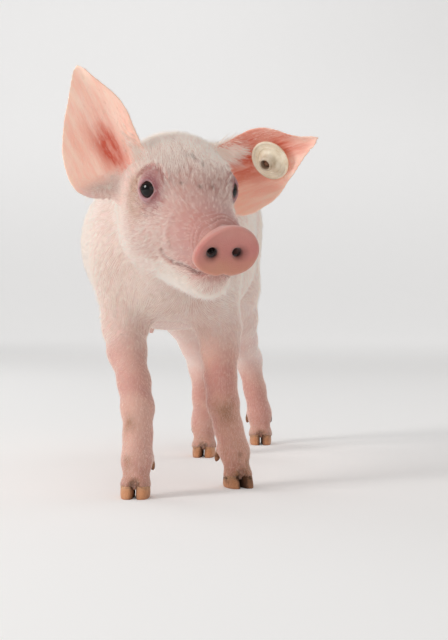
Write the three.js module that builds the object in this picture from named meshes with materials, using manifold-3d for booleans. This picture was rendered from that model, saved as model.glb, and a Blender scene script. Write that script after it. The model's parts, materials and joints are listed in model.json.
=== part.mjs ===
// A standing piglet of about four weeks, life size, with a button tag in its left ear.
// Millimetres. The piglet faces -Y, its left is +X, and it stands on the plane z = 0.
import * as THREE from 'three';
import { mergeVertices } from 'three/addons/utils/BufferGeometryUtils.js';
import Module from 'manifold-3d';

const wasm = await Module();
wasm.setup();

// ---------------------------------------------------------------- sizes

const gap = 0.3; // between neighbouring solids
const degree = Math.PI / 180;

// The rounded masses of the trunk: centre and radii of each egg. A pair lies either side of its middle.
const trunkEggs = {
  ribs: { at: [-13, 100, 185], radii: [69, 112, 69] },
  belly: { at: [-11, 146, 170], radii: [61, 100, 54] },
  loin: { at: [-3, 190, 206], radii: [52, 90, 52] },
  rump: { at: [3, 254, 204], radii: [45, 62, 52] },
  withers: { at: [-2, 28, 210], radii: [44, 62, 46] },
  brisket: { at: [-2, -2, 158], radii: [38, 36, 31] },
};
const trunkPairs = {
  shoulder: { middle: -5, at: [31, 20, 176], radii: [27, 44, 56] },
  ham: { middle: 2, at: [20, 262, 172], radii: [22, 50, 54] },
};
const neck = { root: [0, 30, 206], rootRadius: 54, crown: [5, -36, 222], crownRadius: 37 };
const throat = { root: [0, 18, 178], rootRadius: 44, crown: [5, -34, 192], crownRadius: 31 };
const fleshBlend = 18; // how widely the masses melt into each other
const legFillet = { blend: 12, reach: 6 }; // how a leg runs out onto the trunk
const crotch = 3; // where the thighs meet, across the body

// The head has its own frame: a runs forwards, b to its left and c upwards from between the eyes.
const headPlace = { eyes: [25.6, -83, 222], turn: 24, dip: 12.5 };
const headEggs = {
  skull: { at: [-38, 0, 1], radii: [41, 36, 32] },
  forehead: { at: [-7, 0, 3], radii: [31, 25, 21] },
  jowl: { at: [-32, 0, -40], radii: [36, 29, 27] },
};
const headPairs = {
  cheek: { at: [-26, 19, -25], radii: [31, 20, 31] },
  brow: { at: [-4, 21, 9], radii: [15, 9, 7] },
};
const muzzle = { root: [8, 0, -20], rootRadius: 29, tip: [64, 0, -23], tipRadius: 19.5 };
const jaw = { root: [-8, 0, -46], rootRadius: 22, tip: [52, 0, -49], tipRadius: 14 };
const headBlend = 14;
const nosePad = { at: [82, 0, -25], halfWidth: 23, halfHeight: 18, halfDepth: 4.5, tilt: 4, shear: 0.2 };
const nostril = { out: 10, up: -3, radius: 3.6, depth: 12 };
const eye = { at: [-6, 27, 0], radius: 9 };

// Each ear is a cupped leaf with a rounded tip. A row of its edges says how far along the ear it
// lies, then how far the inner and the outer edge stand off the midline there.
const earShape = {
  length: 85.5,
  rootAt: -19,
  tipRound: 6.5,
  cup: 15,
  tipCurl: 6,
  thickness: 2.6,
  rootThickness: 5,
};
const ears = {
  right: {
    root: [-45, -37, 9],
    along: [0.02, -0.46, 0.89],
    across: [-0.3, -0.86, -0.42],
    edges: [[-19, 12, 14], [-10, 16, 31], [-3, 17.5, 37.5], [6, 18.3, 40], [17, 18.6, 39.2], [30, 18.8, 36.2],
      [42, 19, 30.6], [53, 17.2, 24.6], [64, 12.4, 17.2], [74, 7.4, 11], [80, 5, 7.6], [85.5, 3.6, 5]],
  },
  left: {
    root: [-45, 36, 7],
    along: [0.58, 0.66, 0.46],
    across: [0.22, 0.58, -0.78],
    edges: [[-19, 12, 14], [-10, 17, 28], [-3, 18, 33.5], [5, 18.8, 36.2], [13, 19.4, 37.2], [22, 20, 35.8],
      [31, 21.2, 34], [40, 21.8, 30.4], [50, 19.8, 24], [58, 15.4, 19.6], [66, 8.9, 14.4], [72, 5, 11],
      [78, 2.9, 8.2], [85.5, 0.8, 5.6]],
  },
};

// Leg joints from the top down, each with the radius of the leg there.
const legs = {
  front_right: {
    joints: [[-30, 12, 158], [-35, 4, 122], [-31, -14, 104], [-23, -32, 82], [-19, -42, 64],
      [-18, -48, 45], [-18, -54, 27]],
    foot: [-18, -61],
    heading: 2,
  },
  front_left: {
    joints: [[26, 20, 158], [35, 20, 122], [36, 18, 104], [37, 14, 82], [39, 11, 64],
      [43, 13, 45], [48, 12, 27]],
    foot: [51, 7],
    heading: 24,
  },
  hind_right: {
    joints: [[-14, 262, 186], [-20, 234, 150], [-16, 234, 122], [-8, 250, 96], [-3, 256, 76],
      [0, 240, 50], [2, 222, 27]],
    foot: [3, 212],
    heading: 0,
  },
  hind_left: {
    joints: [[18, 266, 186], [22, 258, 146], [24, 280, 118], [28, 306, 96], [32, 328, 78],
      [38, 328, 50], [42.5, 327, 27]],
    foot: [44, 319],
    heading: 8,
  },
};
const legRadii = {
  front: [19, 17, 14.6, 12.2, 12, 10.2, 11.4],
  hind: [21, 24, 20, 14, 12.4, 9.6, 10.8],
};
const toe = {
  spread: 4.5,
  radius: { front: 5.3, hind: 4.9 },
  tipHeight: 9,
  frontSpread: 4.3,
  frontReach: 4,
  frontShare: 0.88,
  coronet: 7.6,
  slope: 0.16,
};
const claw = {
  width: { front: 10.6, hind: 9.6 },
  cleft: 0.7,
  tipShare: 0.36,
  toeReach: 15,
  toeDraw: 5.5,
  heelReach: 11,
  heelDraw: 1.5,
};
const dewclaw = { rise: 30, spread: 10.8, behind: 12.5, length: 12, radius: 2.6, splay: 10, lean: 18 };

const tail = { root: [0, 306, 226], radius: 8.5, tipRadius: 2.2, curl: 17, turns: 1.35 };

const tag = {
  along: 44.5,
  across: 5,
  facing: [0.62, -0.7, -0.35],
  lean: 0.8,
  front: 5.2,
  back: -6.4,
  discRadius: 15,
  bossRadius: 5.6,
  bossHeight: 9,
  boreRadius: 3.4,
  thickness: 1.8,
  pinRadius: 2.6,
  backRadius: 14,
};

const flesh = { skin: '#e6b3a6', ear: '#e09a86', horn: '#c8955f', eye: '#15100e', tag: '#d6cdb2' };

// ---------------------------------------------------------------- distance fields

const vector = (p) => new THREE.Vector3(...p);
const pairOf = ({ middle, at: [x, y, z], radii }) => [1, -1].map(
  (side) => egg({ at: [middle + side * x, y, z], radii }),
);
const headPairOf = ({ at: [a, b, c], radii }) => [1, -1].map(
  (side) => egg({ at: [a, side * b, c], radii }),
);

function smoothMin(a, b, blend) {
  const overlap = Math.max(blend - Math.abs(a - b), 0) / blend;
  return Math.min(a, b) - overlap * overlap * blend * 0.25;
}

const melt = (blend, forms) => (p) => forms.reduce((least, form) => smoothMin(least, form(p), blend), 1e3);

function egg({ at, radii }) {
  const [rx, ry, rz] = radii;
  return (p) => {
    const [x, y, z] = [p.x - at[0], p.y - at[1], p.z - at[2]];
    const share = Math.hypot(x / rx, y / ry, z / rz);
    const slope = Math.hypot(x / rx ** 2, y / ry ** 2, z / rz ** 2);
    return slope < 1e-9 ? -Math.min(rx, ry, rz) : (share * (share - 1)) / slope;
  };
}

// A limb that tapers from one ball to another.
function taper(from, fromRadius, to, toRadius) {
  const start = vector(from);
  const axis = vector(to).sub(start);
  const length = axis.length();
  axis.normalize();
  const lean = (fromRadius - toRadius) / length;
  const upright = Math.sqrt(1 - lean * lean);
  return (p) => {
    const rel = p.clone().sub(start);
    const along = rel.dot(axis);
    const off = Math.sqrt(Math.max(rel.lengthSq() - along * along, 0));
    const side = along * upright - off * lean;
    if (side < 0) return rel.length() - fromRadius;
    if (side > length * upright) return Math.hypot(off, along - length) - toRadius;
    return off * upright + along * lean - fromRadius;
  };
}

const headFrame = (() => {
  const { eyes, turn, dip } = headPlace;
  const forward = new THREE.Vector3(
    Math.sin(turn * degree) * Math.cos(dip * degree),
    -Math.cos(turn * degree) * Math.cos(dip * degree),
    -Math.sin(dip * degree),
  );
  const left = new THREE.Vector3(Math.cos(turn * degree), Math.sin(turn * degree), 0);
  const up = forward.clone().cross(left);
  return new THREE.Matrix4().makeBasis(forward, left, up).setPosition(...eyes);
})();
const intoHead = headFrame.clone().invert();
const headPoint = (a, b, c) => new THREE.Vector3(a, b, c).applyMatrix4(headFrame);
const headAxis = (a, b, c) => new THREE.Vector3(a, b, c).transformDirection(headFrame);
const inHead = (form) => (p) => form(p.clone().applyMatrix4(intoHead));

// The round nose plate: a short elliptical drum with soft rims.
function nosePlate(p) {
  const { at, halfWidth, halfHeight, halfDepth, tilt, shear } = nosePad;
  const lean = Math.tan(tilt * degree);
  const depth = Math.abs(p.x - at[0] - lean * (p.z - at[2])) - halfDepth;
  const narrow = 1 + 0.12 * Math.min((p.z - at[2]) / halfHeight, 1);
  const across = p.y - shear * Math.max(p.z - at[2] + halfHeight * 0.4, 0);
  const share = Math.hypot((across * narrow) / halfWidth, (p.z - at[2]) / halfHeight);
  const rim = (share - 1) * halfHeight;
  const round = 3;
  const [outX, outR] = [Math.max(depth + round, 0), Math.max(rim + round, 0)];
  return Math.hypot(outX, outR) + Math.min(Math.max(depth, rim) + round, 0) - round;
}

const neckForms = [
  taper(neck.root, neck.rootRadius, neck.crown, neck.crownRadius),
  taper(throat.root, throat.rootRadius, throat.crown, throat.crownRadius),
];
const trunkForms = [
  ...Object.values(trunkEggs).map(egg),
  ...Object.values(trunkPairs).flatMap(pairOf),
];
const headForms = [
  ...Object.values(headEggs).map(egg),
  ...Object.values(headPairs).flatMap(headPairOf),
  taper(muzzle.root, muzzle.rootRadius, muzzle.tip, muzzle.tipRadius),
  taper(jaw.root, jaw.rootRadius, jaw.tip, jaw.tipRadius),
];
const bareHead = inHead(melt(headBlend, headForms));
const plate = inHead(nosePlate);
const headField = (p) => smoothMin(bareHead(p), plate(p), 5);
const trunkField = melt(fleshBlend, [...trunkForms, ...neckForms]);
const headNeckField = melt(fleshBlend, [headField, ...neckForms]);
const bodyField = (p) => smoothMin(trunkField(p), headField(p), fleshBlend);

const girdleOf = (name) => (name.startsWith('front') ? 'front' : 'hind');

function legField(name) {
  const { joints } = legs[name];
  const radii = legRadii[girdleOf(name)];
  const forms = joints.slice(1).map((joint, i) => taper(joints[i], radii[i], joint, radii[i + 1]));
  const ankle = joints[joints.length - 1];
  for (const side of [-1, 1]) forms.push(...toeFields(name, ankle, side), spurField(name, ankle, side));
  return melt(7, forms);
}

function footFrame(name) {
  const { foot, heading } = legs[name];
  return new THREE.Matrix4()
    .makeRotationZ(heading * degree)
    .setPosition(foot[0], foot[1], 0);
}

function toeFields(name, ankle, side) {
  const radius = toe.radius[girdleOf(name)];
  const place = (x, y) => new THREE.Vector3(x, y, toe.tipHeight).applyMatrix4(footFrame(name)).toArray();
  const tip = place(side * toe.spread, 1);
  const knuckle = [ankle[0], ankle[1], ankle[2] - 2];
  const front = place(side * toe.frontSpread, -toe.frontReach);
  return [taper(knuckle, radius + 2.4, tip, radius), taper(tip, radius, front, radius * toe.frontShare)];
}

// The fleshy root that a dewclaw hangs from.
function spurField(name, ankle, side) {
  const { rise, spread, behind } = dewclaw;
  const turned = new THREE.Matrix4()
    .makeRotationZ(legs[name].heading * degree)
    .setPosition(ankle[0], ankle[1], 0);
  const place = (share, height) => new THREE.Vector3(side * spread * share, behind * share, height)
    .applyMatrix4(turned).toArray();
  return taper(place(0.3, rise + 3), 4.5, place(0.78, rise - 3), 3.4);
}

// ---------------------------------------------------------------- meshes and solids

// How far the surface lies from a point inside it, along a direction.
function reachOf(field, from, direction, most, grow) {
  let reach = 0;
  for (let step = 0; step < 90; step += 1) {
    const distance = field(from.clone().addScaledVector(direction, reach));
    if (distance > -0.02) break;
    reach -= distance * 0.8;
    if (reach > most) return most;
  }
  return reach + grow;
}

// A closed skin round a row of stations. Each station is a plane with a centre, across and up.
function wrap(field, stations, sides, { most = 200, grow = 0, roundEnd = false } = {}) {
  const points = [];
  const faces = [];
  for (const { centre, across, up } of stations) {
    for (let k = 0; k < sides; k += 1) {
      const turn = (2 * Math.PI * k) / sides;
      const ray = across.clone().multiplyScalar(Math.cos(turn)).addScaledVector(up, Math.sin(turn));
      points.push(centre.clone().addScaledVector(ray, reachOf(field, centre, ray, most, grow)));
    }
  }
  for (let row = 0; row + 1 < stations.length; row += 1) {
    for (let k = 0; k < sides; k += 1) {
      const [a, b] = [row * sides + k, row * sides + ((k + 1) % sides)];
      faces.push([a, b, b + sides], [a, b + sides, a + sides]);
    }
  }
  const last = stations.length - 1;
  const middle = (row) => {
    const ring = points.slice(row * sides, row * sides + sides);
    return ring.reduce((sum, p) => sum.add(p), new THREE.Vector3()).divideScalar(sides);
  };
  const start = points.push(middle(0)) - 1;
  const { centre, across, up } = stations[last];
  const outward = across.clone().cross(up);
  const pole = roundEnd
    ? centre.clone().addScaledVector(outward, reachOf(field, centre, outward, most, grow))
    : middle(last);
  const end = points.push(pole) - 1;
  for (let k = 0; k < sides; k += 1) {
    const next = (k + 1) % sides;
    faces.push([start, next, k], [end, last * sides + k, last * sides + next]);
  }
  return meshSolid(points, faces);
}

// A solid from points and triangles, turned the right way out.
function meshSolid(points, faces) {
  const flat = new Float32Array(points.flatMap((p) => [p.x, p.y, p.z]));
  let volume = 0;
  for (const [a, b, c] of faces) volume += points[a].dot(points[b].clone().cross(points[c]));
  const turned = volume < 0 ? faces.map(([a, b, c]) => [a, c, b]) : faces;
  const geometry = new THREE.BufferGeometry();
  geometry.setAttribute('position', new THREE.BufferAttribute(flat, 3));
  geometry.setIndex(turned.flat());
  return solidOf(geometry);
}

function solidOf(geometry, matrix) {
  const bare = geometry.clone();
  for (const name of ['normal', 'uv']) bare.deleteAttribute(name);
  if (matrix) bare.applyMatrix4(matrix);
  const merged = mergeVertices(bare, 1e-3);
  return new wasm.Manifold(new wasm.Mesh({
    numProp: 3,
    vertProperties: merged.attributes.position.array,
    triVerts: new Uint32Array(merged.index.array),
  }));
}

function geometryOf(solid) {
  const { vertProperties, triVerts } = solid.getMesh();
  const geometry = new THREE.BufferGeometry();
  geometry.setAttribute('position', new THREE.BufferAttribute(vertProperties, 3));
  geometry.setIndex(new THREE.BufferAttribute(triVerts, 1));
  geometry.computeVertexNormals();
  return geometry;
}

const largest = (solid) => solid.decompose().sort((a, b) => b.volume() - a.volume())[0];

// Planes spaced along a smooth line, turning evenly from the first normal to the last.
function stationsAlong(points, count, firstNormal, lastNormal, sideways = [1, 0, 0]) {
  const line = new THREE.CatmullRomCurve3(points.map(vector), false, 'centripetal');
  return Array.from({ length: count }, (_, i) => {
    const share = i / (count - 1);
    const normal = vector(firstNormal).normalize().lerp(vector(lastNormal).normalize(), share).normalize();
    const across = vector(sideways).addScaledVector(normal, -vector(sideways).dot(normal)).normalize();
    return { centre: line.getPointAt(share), across, up: normal.clone().cross(across) };
  });
}

const shifted = (station, distance) => {
  const normal = station.across.clone().cross(station.up);
  return { ...station, centre: station.centre.clone().addScaledVector(normal, distance) };
};

// ---------------------------------------------------------------- trunk, neck and head

const backwards = [0, 1, 0];
const neckCut = { centre: [0, 2, 200], normal: [0, 0.985, -0.17] };
const headCut = { centre: headPoint(-47, 0, -14).toArray(), normal: headAxis(-0.98, 0, -0.19).toArray() };
const snoutCut = { centre: headPoint(38, 0, -24).toArray(), normal: headAxis(-1, 0, 0.05).toArray() };
const snoutEnd = { centre: headPoint(74, 0, -24).toArray(), normal: headAxis(-1, 0, 0.07).toArray() };

const trunkLine = [neckCut.centre, [-5, 50, 190], [-9, 130, 184], [-1, 230, 192], [3, 298, 200]];
const trunkStations = stationsAlong(trunkLine, 22, neckCut.normal, backwards);
const trunkSides = 28;
const trunkSolid = wrap(trunkField, trunkStations, trunkSides, { roundEnd: true });
const trunkGrown = wrap(
  trunkField,
  [shifted(trunkStations[0], -gap), ...trunkStations.slice(1)],
  trunkSides,
  { roundEnd: true, grow: gap },
);

const neckStations = stationsAlong([headCut.centre, neckCut.centre], 6, headCut.normal, neckCut.normal);
const neckRings = [...neckStations.slice(0, -1), shifted(neckStations.at(-1), -gap)];
const neckSolid = wrap(bodyField, neckRings, trunkSides);
const neckGrown = wrap(bodyField, neckStations, trunkSides, { grow: gap });

const headSides = 26;
const headLine = [
  snoutCut.centre,
  headPoint(10, 0, -19).toArray(),
  headPoint(-20, 0, -14).toArray(),
  headCut.centre,
];
const headStations = stationsAlong(headLine, 13, snoutCut.normal, headCut.normal);
const headRings = [...headStations.slice(0, -1), shifted(headStations.at(-1), -gap)];
const headWhole = wrap(headNeckField, headRings, headSides);

const snoutLine = [snoutEnd.centre, snoutCut.centre];
const snoutStations = stationsAlong(snoutLine, 6, snoutEnd.normal, snoutCut.normal);
const snoutRings = [...snoutStations.slice(0, -1), shifted(snoutStations.at(-1), -gap)];
const snoutSolid = wrap(headField, snoutRings, headSides);

// The nose plate with its rounded rim, bored by the nostrils.
function nosePlateSolid() {
  const forward = headAxis(1, 0, -0.07);
  const spots = [0.3, 1.2, 3, 5.6, 8.4, 10.2, 11.2];
  const rings = spots.map((along) => {
    const centre = vector(snoutEnd.centre).addScaledVector(forward, along);
    const across = headAxis(0, 1, 0);
    return { centre, across, up: forward.clone().cross(across) };
  });
  const solid = wrap(headField, rings, headSides, { roundEnd: true });
  return solid.subtract(nostrilBore(1)).subtract(nostrilBore(-1));
}

function nostrilBore(side) {
  const bore = new THREE.CylinderGeometry(nostril.radius, nostril.radius * 0.6, nostril.depth, 10);
  const place = headFrame.clone()
    .multiply(new THREE.Matrix4().makeTranslation(
      nosePad.at[0] + nosePad.halfDepth - 3, side * nostril.out, nosePad.at[2] + nostril.up))
    .multiply(new THREE.Matrix4().makeRotationZ(-Math.PI / 2 - side * 0.3));
  return solidOf(bore, place);
}

const eyePlace = (side) => headPoint(eye.at[0], side * eye.at[1], eye.at[2]);
const eyeBall = (side, radius) => solidOf(
  new THREE.SphereGeometry(radius, 14, 9),
  new THREE.Matrix4().setPosition(eyePlace(side)),
);

// ---------------------------------------------------------------- ears and tag

// How far each edge of the ear stands off its midline.
function earEdges(side, along) {
  const { edges } = ears[side];
  const row = Math.max(edges.findLastIndex(([place]) => place <= along), 0);
  const [low, high] = [edges[row], edges[Math.min(row + 1, edges.length - 1)]];
  const share = (along - low[0]) / Math.max(high[0] - low[0], gap);
  const [inner, outer] = [1, 2].map((edge) => THREE.MathUtils.lerp(low[edge], high[edge], share));
  const beyond = Math.max(along - earShape.length + earShape.tipRound, 0) / earShape.tipRound;
  const half = ((inner + outer) / 2) * Math.sqrt(Math.max(1 - beyond * beyond, 0));
  const middle = (outer - inner) / 2;
  return [half - middle, half + middle];
}

// A point of the ear leaf: u runs from root to tip, v from inner edge (0) to outer edge (1).
function earPoint(side, u, v, face) {
  const { length, rootAt, cup, tipCurl, thickness, rootThickness } = earShape;
  const along = rootAt + (length - rootAt) * u;
  const [inner, outer] = earEdges(side, along);
  const across = v * (inner + outer) - inner;
  const axes = earAxes(side);
  const bulge = 4 * v * (1 - v);
  const depth = -cup * bulge * (1 - 0.75 * u) + tipCurl * u * u;
  const rim = Math.sqrt(Math.max(bulge, 0)) * Math.sqrt(Math.max(1 - u ** 8, 0));
  const thick = (thickness + (rootThickness - thickness) * (1 - u) ** 3) * (0.25 + 0.75 * rim);
  return headPoint(...ears[side].root)
    .addScaledVector(axes.along, along)
    .addScaledVector(axes.across, across)
    .addScaledVector(axes.out, depth + cup * 0.6 + (face * thick) / 2);
}

// The ear's own axes: along to the tip, across to the outer edge, and out of its opening.
function earAxes(side) {
  const along = headAxis(...ears[side].along);
  const across = headAxis(...ears[side].across);
  across.addScaledVector(along, -across.dot(along)).normalize();
  const out = along.clone().cross(across);
  if (out.dot(headAxis(1, 0, 0)) < 0) out.negate();
  return { along, across, out };
}

function earLeaf(side) {
  const [rows, columns] = [12, 8];
  const points = [];
  const faces = [];
  const index = new Map();
  const at = (i, j, face) => {
    const onRim = j === 0 || j === columns || i === rows;
    const key = i === rows ? 'tip' : `${i},${j},${onRim ? 0 : face}`;
    const u = Math.sin((i / rows) * (Math.PI / 2)) ** 1.06;
    if (!index.has(key)) index.set(key, points.push(earPoint(side, u, j / columns, onRim ? 0 : face)) - 1);
    return index.get(key);
  };
  for (const face of [-1, 1]) {
    for (let i = 0; i < rows; i += 1) {
      for (let j = 0; j < columns; j += 1) {
        const [a, b, c, d] = [at(i, j, face), at(i, j + 1, face), at(i + 1, j + 1, face), at(i + 1, j, face)];
        const pair = i + 1 === rows ? [[a, b, c]] : [[a, b, c], [a, c, d]];
        for (const [p, q, r] of pair) faces.push(face > 0 ? [p, q, r] : [p, r, q]);
      }
    }
  }
  for (let j = 0; j < columns; j += 1) {
    const [a, b, c, d] = [at(0, j, 1), at(0, j + 1, 1), at(0, j + 1, -1), at(0, j, -1)];
    for (const [p, q, r] of [[a, c, b], [a, d, c]]) {
      if (new Set([p, q, r]).size === 3) faces.push([p, q, r]);
    }
  }
  return meshSolid(points, faces);
}

const tagFrame = (() => {
  const [inner, outer] = earEdges('left', tag.along);
  const v = (tag.across + inner) / (inner + outer);
  const u = (tag.along - earShape.rootAt) / (earShape.length - earShape.rootAt);
  const centre = earPoint('left', u, v, 0);
  const alongEar = earPoint('left', u + 0.05, v, 0).sub(earPoint('left', u - 0.05, v, 0)).normalize();
  const acrossEar = earPoint('left', u, v + 0.05, 0).sub(earPoint('left', u, v - 0.05, 0)).normalize();
  const out = earAxes('left').out;
  const normal = alongEar.clone().cross(acrossEar).normalize();
  if (normal.dot(out) < 0) normal.negate();
  normal.lerp(headAxis(...tag.facing), tag.lean).normalize();
  alongEar.addScaledVector(normal, -alongEar.dot(normal)).normalize();
  acrossEar.copy(normal).cross(alongEar);
  return new THREE.Matrix4().makeBasis(acrossEar, normal, alongEar).setPosition(centre);
})();

const turned = (profile, sides) => solidOf(
  new THREE.LatheGeometry(profile.map(([r, h]) => new THREE.Vector2(r, h)), sides),
  tagFrame,
);

function tagSolids() {
  const { front, back, discRadius, bossRadius, bossHeight, boreRadius } = tag;
  const { thickness, pinRadius, backRadius } = tag;
  const button = turned([
    [boreRadius, front], [discRadius - 0.6, front],
    [discRadius, front + 0.6], [discRadius, front + thickness],
    [bossRadius + 2.2, front + thickness + 0.9], [bossRadius, front + thickness + 2],
    [bossRadius - 0.8, front + bossHeight], [boreRadius, front + bossHeight], [boreRadius, front],
  ], 22);
  const stud = turned([
    [0, back - thickness], [backRadius - 0.5, back - thickness], [backRadius, back - thickness / 2],
    [backRadius - 0.5, back], [pinRadius + 1.6, back + 0.4], [pinRadius, back + 2],
    [pinRadius, front + bossHeight - 3.4], [0, front + bossHeight - 1.6],
  ], 20);
  const clearance = turned([
    [0, back - 3], [backRadius + 0.4, back - 3],
    [backRadius + 0.4, back + gap], [pinRadius + 1.9, back + 0.8],
    [pinRadius + 0.5, back + 2.4], [pinRadius + 0.5, front - gap], [discRadius + 0.4, front - gap],
    [discRadius + 0.4, front + 6], [0, front + 6],
  ], 20);
  return { button, stud, clearance };
}

// ---------------------------------------------------------------- legs, hooves and tail

function legStations(name, count) {
  const { joints } = legs[name];
  const coronetAt = new THREE.Vector3(0, 2, toe.coronet).applyMatrix4(footFrame(name));
  const points = [...joints, coronetAt.toArray()];
  const line = new THREE.CatmullRomCurve3(points.map(vector), false, 'centripetal');
  const upward = new THREE.Vector3(0, 0, 1);
  const sideways = new THREE.Vector3(1, 0, 0).applyAxisAngle(upward, legs[name].heading * degree);
  return Array.from({ length: count }, (_, i) => {
    const share = i / (count - 1);
    const normal = line.getTangentAt(share);
    const flat = new THREE.Vector3(0, -toe.slope, -1).applyAxisAngle(upward, legs[name].heading * degree);
    if (share > 0.8) normal.lerp(flat.normalize(), (share - 0.8) / 0.2).normalize();
    const across = sideways.clone().addScaledVector(normal, -sideways.dot(normal)).normalize();
    return { centre: line.getPointAt(share), across, up: normal.clone().cross(across) };
  });
}

function legSolid(name, grow) {
  const own = legField(name);
  const { blend, reach } = legFillet;
  const joined = (p) => Math.max(smoothMin(own(p), trunkField(p), blend), own(p) - reach);
  const side = name.endsWith('left') ? 1 : -1;
  return largest(wrap(joined, legStations(name, 18), 14, { grow })
    .subtract(trunkGrown)
    .subtract(neckGrown)
    .trimByPlane([side, 0, 0], side * crotch + gap / 2));
}

// One half of the cloven hoof, flat underneath, pointing the way the foot heads.
function clawSolid(name, side) {
  const { cleft, tipShare, toeReach, toeDraw, heelReach, heelDraw } = claw;
  const width = claw.width[girdleOf(name)];
  const rings = [0, 0.08, 0.5, 1];
  const sides = 12;
  const points = [];
  const faces = [];
  for (const rise of rings) {
    const bevel = rise === 0 ? 0.95 : 1;
    const [front, back] = [bevel * (toeReach - toeDraw * rise), bevel * (heelReach - heelDraw * rise)];
    for (let k = 0; k < sides; k += 1) {
      const turn = (2 * Math.PI * k) / sides;
      const [c, s] = [Math.cos(turn), Math.sin(turn)];
      const bulge = s > 0 ? (1 - tipShare) * bevel * s ** 0.8 : -tipShare * bevel * (-s) ** 0.5;
      const x = side * (cleft + width * (tipShare + bulge));
      const y = 1 - (c > 0 ? front : back) * c;
      const top = toe.coronet - gap - toe.slope * (y - 2);
      points.push(new THREE.Vector3(x, y, rise * top).applyMatrix4(footFrame(name)));
    }
  }
  for (let row = 0; row + 1 < rings.length; row += 1) {
    for (let k = 0; k < sides; k += 1) {
      const [a, b] = [row * sides + k, row * sides + ((k + 1) % sides)];
      faces.push([a, b, b + sides], [a, b + sides, a + sides]);
    }
  }
  const lastRow = (rings.length - 1) * sides;
  for (let k = 1; k + 1 < sides; k += 1) {
    faces.push([0, k + 1, k], [lastRow, lastRow + k, lastRow + k + 1]);
  }
  return meshSolid(points, faces);
}

// A small claw behind the ankle, hanging point down.
function dewclawSolid(name, side) {
  const { rise, spread, behind, length, radius, splay, lean } = dewclaw;
  const profile = [
    [0, 0], [radius * 0.35, length * 0.07], [radius * 0.75, length * 0.28],
    [radius, length * 0.57], [radius * 0.9, length * 0.86], [0, length],
  ];
  const shape = new THREE.LatheGeometry(profile.map(([r, h]) => new THREE.Vector2(r, h)), 8);
  const ankle = vector(legs[name].joints.at(-1));
  const place = new THREE.Matrix4().makeRotationZ(legs[name].heading * degree)
    .setPosition(ankle.x, ankle.y, rise - length)
    .multiply(new THREE.Matrix4().makeTranslation(side * spread, behind, 0))
    .multiply(new THREE.Matrix4().makeRotationY(side * -splay * degree))
    .multiply(new THREE.Matrix4().makeRotationX((90 + lean) * degree));
  return solidOf(shape, place);
}

// The tail leaves the rump, drops and makes one open curl.
function tailLine() {
  const { root, curl, turns } = tail;
  const points = [[0, -14, -6], [0, 2, 0], [1, 13, -5], [3, 19, -17]];
  const steps = 9;
  for (let k = 1; k <= steps; k += 1) {
    const turn = (k / steps) * turns * 2 * Math.PI;
    const radius = curl * (0.62 - 0.22 * (k / steps));
    points.push([
      3 + (k / steps) * 15,
      19 - radius + radius * Math.cos(turn) + k * 0.5,
      -17 - radius * Math.sin(turn),
    ]);
  }
  return new THREE.CatmullRomCurve3(
    points.map(([x, y, z]) => new THREE.Vector3(root[0] + x, root[1] + y, root[2] + z)),
    false,
    'centripetal',
  );
}

function tailSolid() {
  const line = tailLine();
  const [rings, sides] = [22, 8];
  const frames = line.computeFrenetFrames(rings, false);
  const points = [];
  const faces = [];
  for (let i = 0; i <= rings; i += 1) {
    const share = i / rings;
    const centre = line.getPointAt(share);
    const radius = tail.radius + (tail.tipRadius - tail.radius) * share ** 0.7;
    for (let k = 0; k < sides; k += 1) {
      const turn = (2 * Math.PI * k) / sides;
      points.push(centre.clone()
        .addScaledVector(frames.normals[i], radius * Math.cos(turn))
        .addScaledVector(frames.binormals[i], radius * Math.sin(turn)));
    }
  }
  for (let row = 0; row < rings; row += 1) {
    for (let k = 0; k < sides; k += 1) {
      const [a, b] = [row * sides + k, row * sides + ((k + 1) % sides)];
      faces.push([a, b, b + sides], [a, b + sides, a + sides]);
    }
  }
  for (let k = 1; k + 1 < sides; k += 1) {
    faces.push([0, k + 1, k], [rings * sides, rings * sides + k, rings * sides + k + 1]);
  }
  return largest(meshSolid(points, faces).subtract(trunkGrown));
}

// ---------------------------------------------------------------- the piglet

const finishes = {
  skin: new THREE.MeshStandardMaterial({ color: flesh.skin, roughness: 0.6, metalness: 0 }),
  ear: new THREE.MeshStandardMaterial({ color: flesh.ear, roughness: 0.6, metalness: 0 }),
  horn: new THREE.MeshStandardMaterial({ color: flesh.horn, roughness: 0.5, metalness: 0 }),
  eye: new THREE.MeshStandardMaterial({ color: flesh.eye, roughness: 0.1, metalness: 0 }),
  tag: new THREE.MeshStandardMaterial({ color: flesh.tag, roughness: 0.45, metalness: 0 }),
};

const piglet = new THREE.Group();

function add(name, solid, finish) {
  const mesh = new THREE.Mesh(geometryOf(solid), finishes[finish]);
  mesh.name = name;
  piglet.add(mesh);
}

add('trunk', trunkSolid, 'skin');
add('neck', neckSolid, 'skin');
const headSolid = [1, -1].reduce((head, side) => head.subtract(eyeBall(side, eye.radius + gap)), headWhole);
add('head', headSolid, 'skin');
add('snout', snoutSolid, 'skin');
add('nose_plate', nosePlateSolid(), 'skin');
add('eye_left', eyeBall(1, eye.radius), 'eye');
add('eye_right', eyeBall(-1, eye.radius), 'eye');

const headGrown = wrap(headNeckField, headStations, headSides, { grow: gap });
const { button, stud, clearance } = tagSolids();
for (const side of ['left', 'right']) {
  let leaf = earLeaf(side).subtract(headGrown).subtract(neckGrown);
  if (side === 'left') leaf = leaf.subtract(clearance);
  add(`ear_${side}`, largest(leaf), 'ear');
}
add('ear_tag_button', button, 'tag');
add('ear_tag_stud', stud, 'tag');

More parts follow.
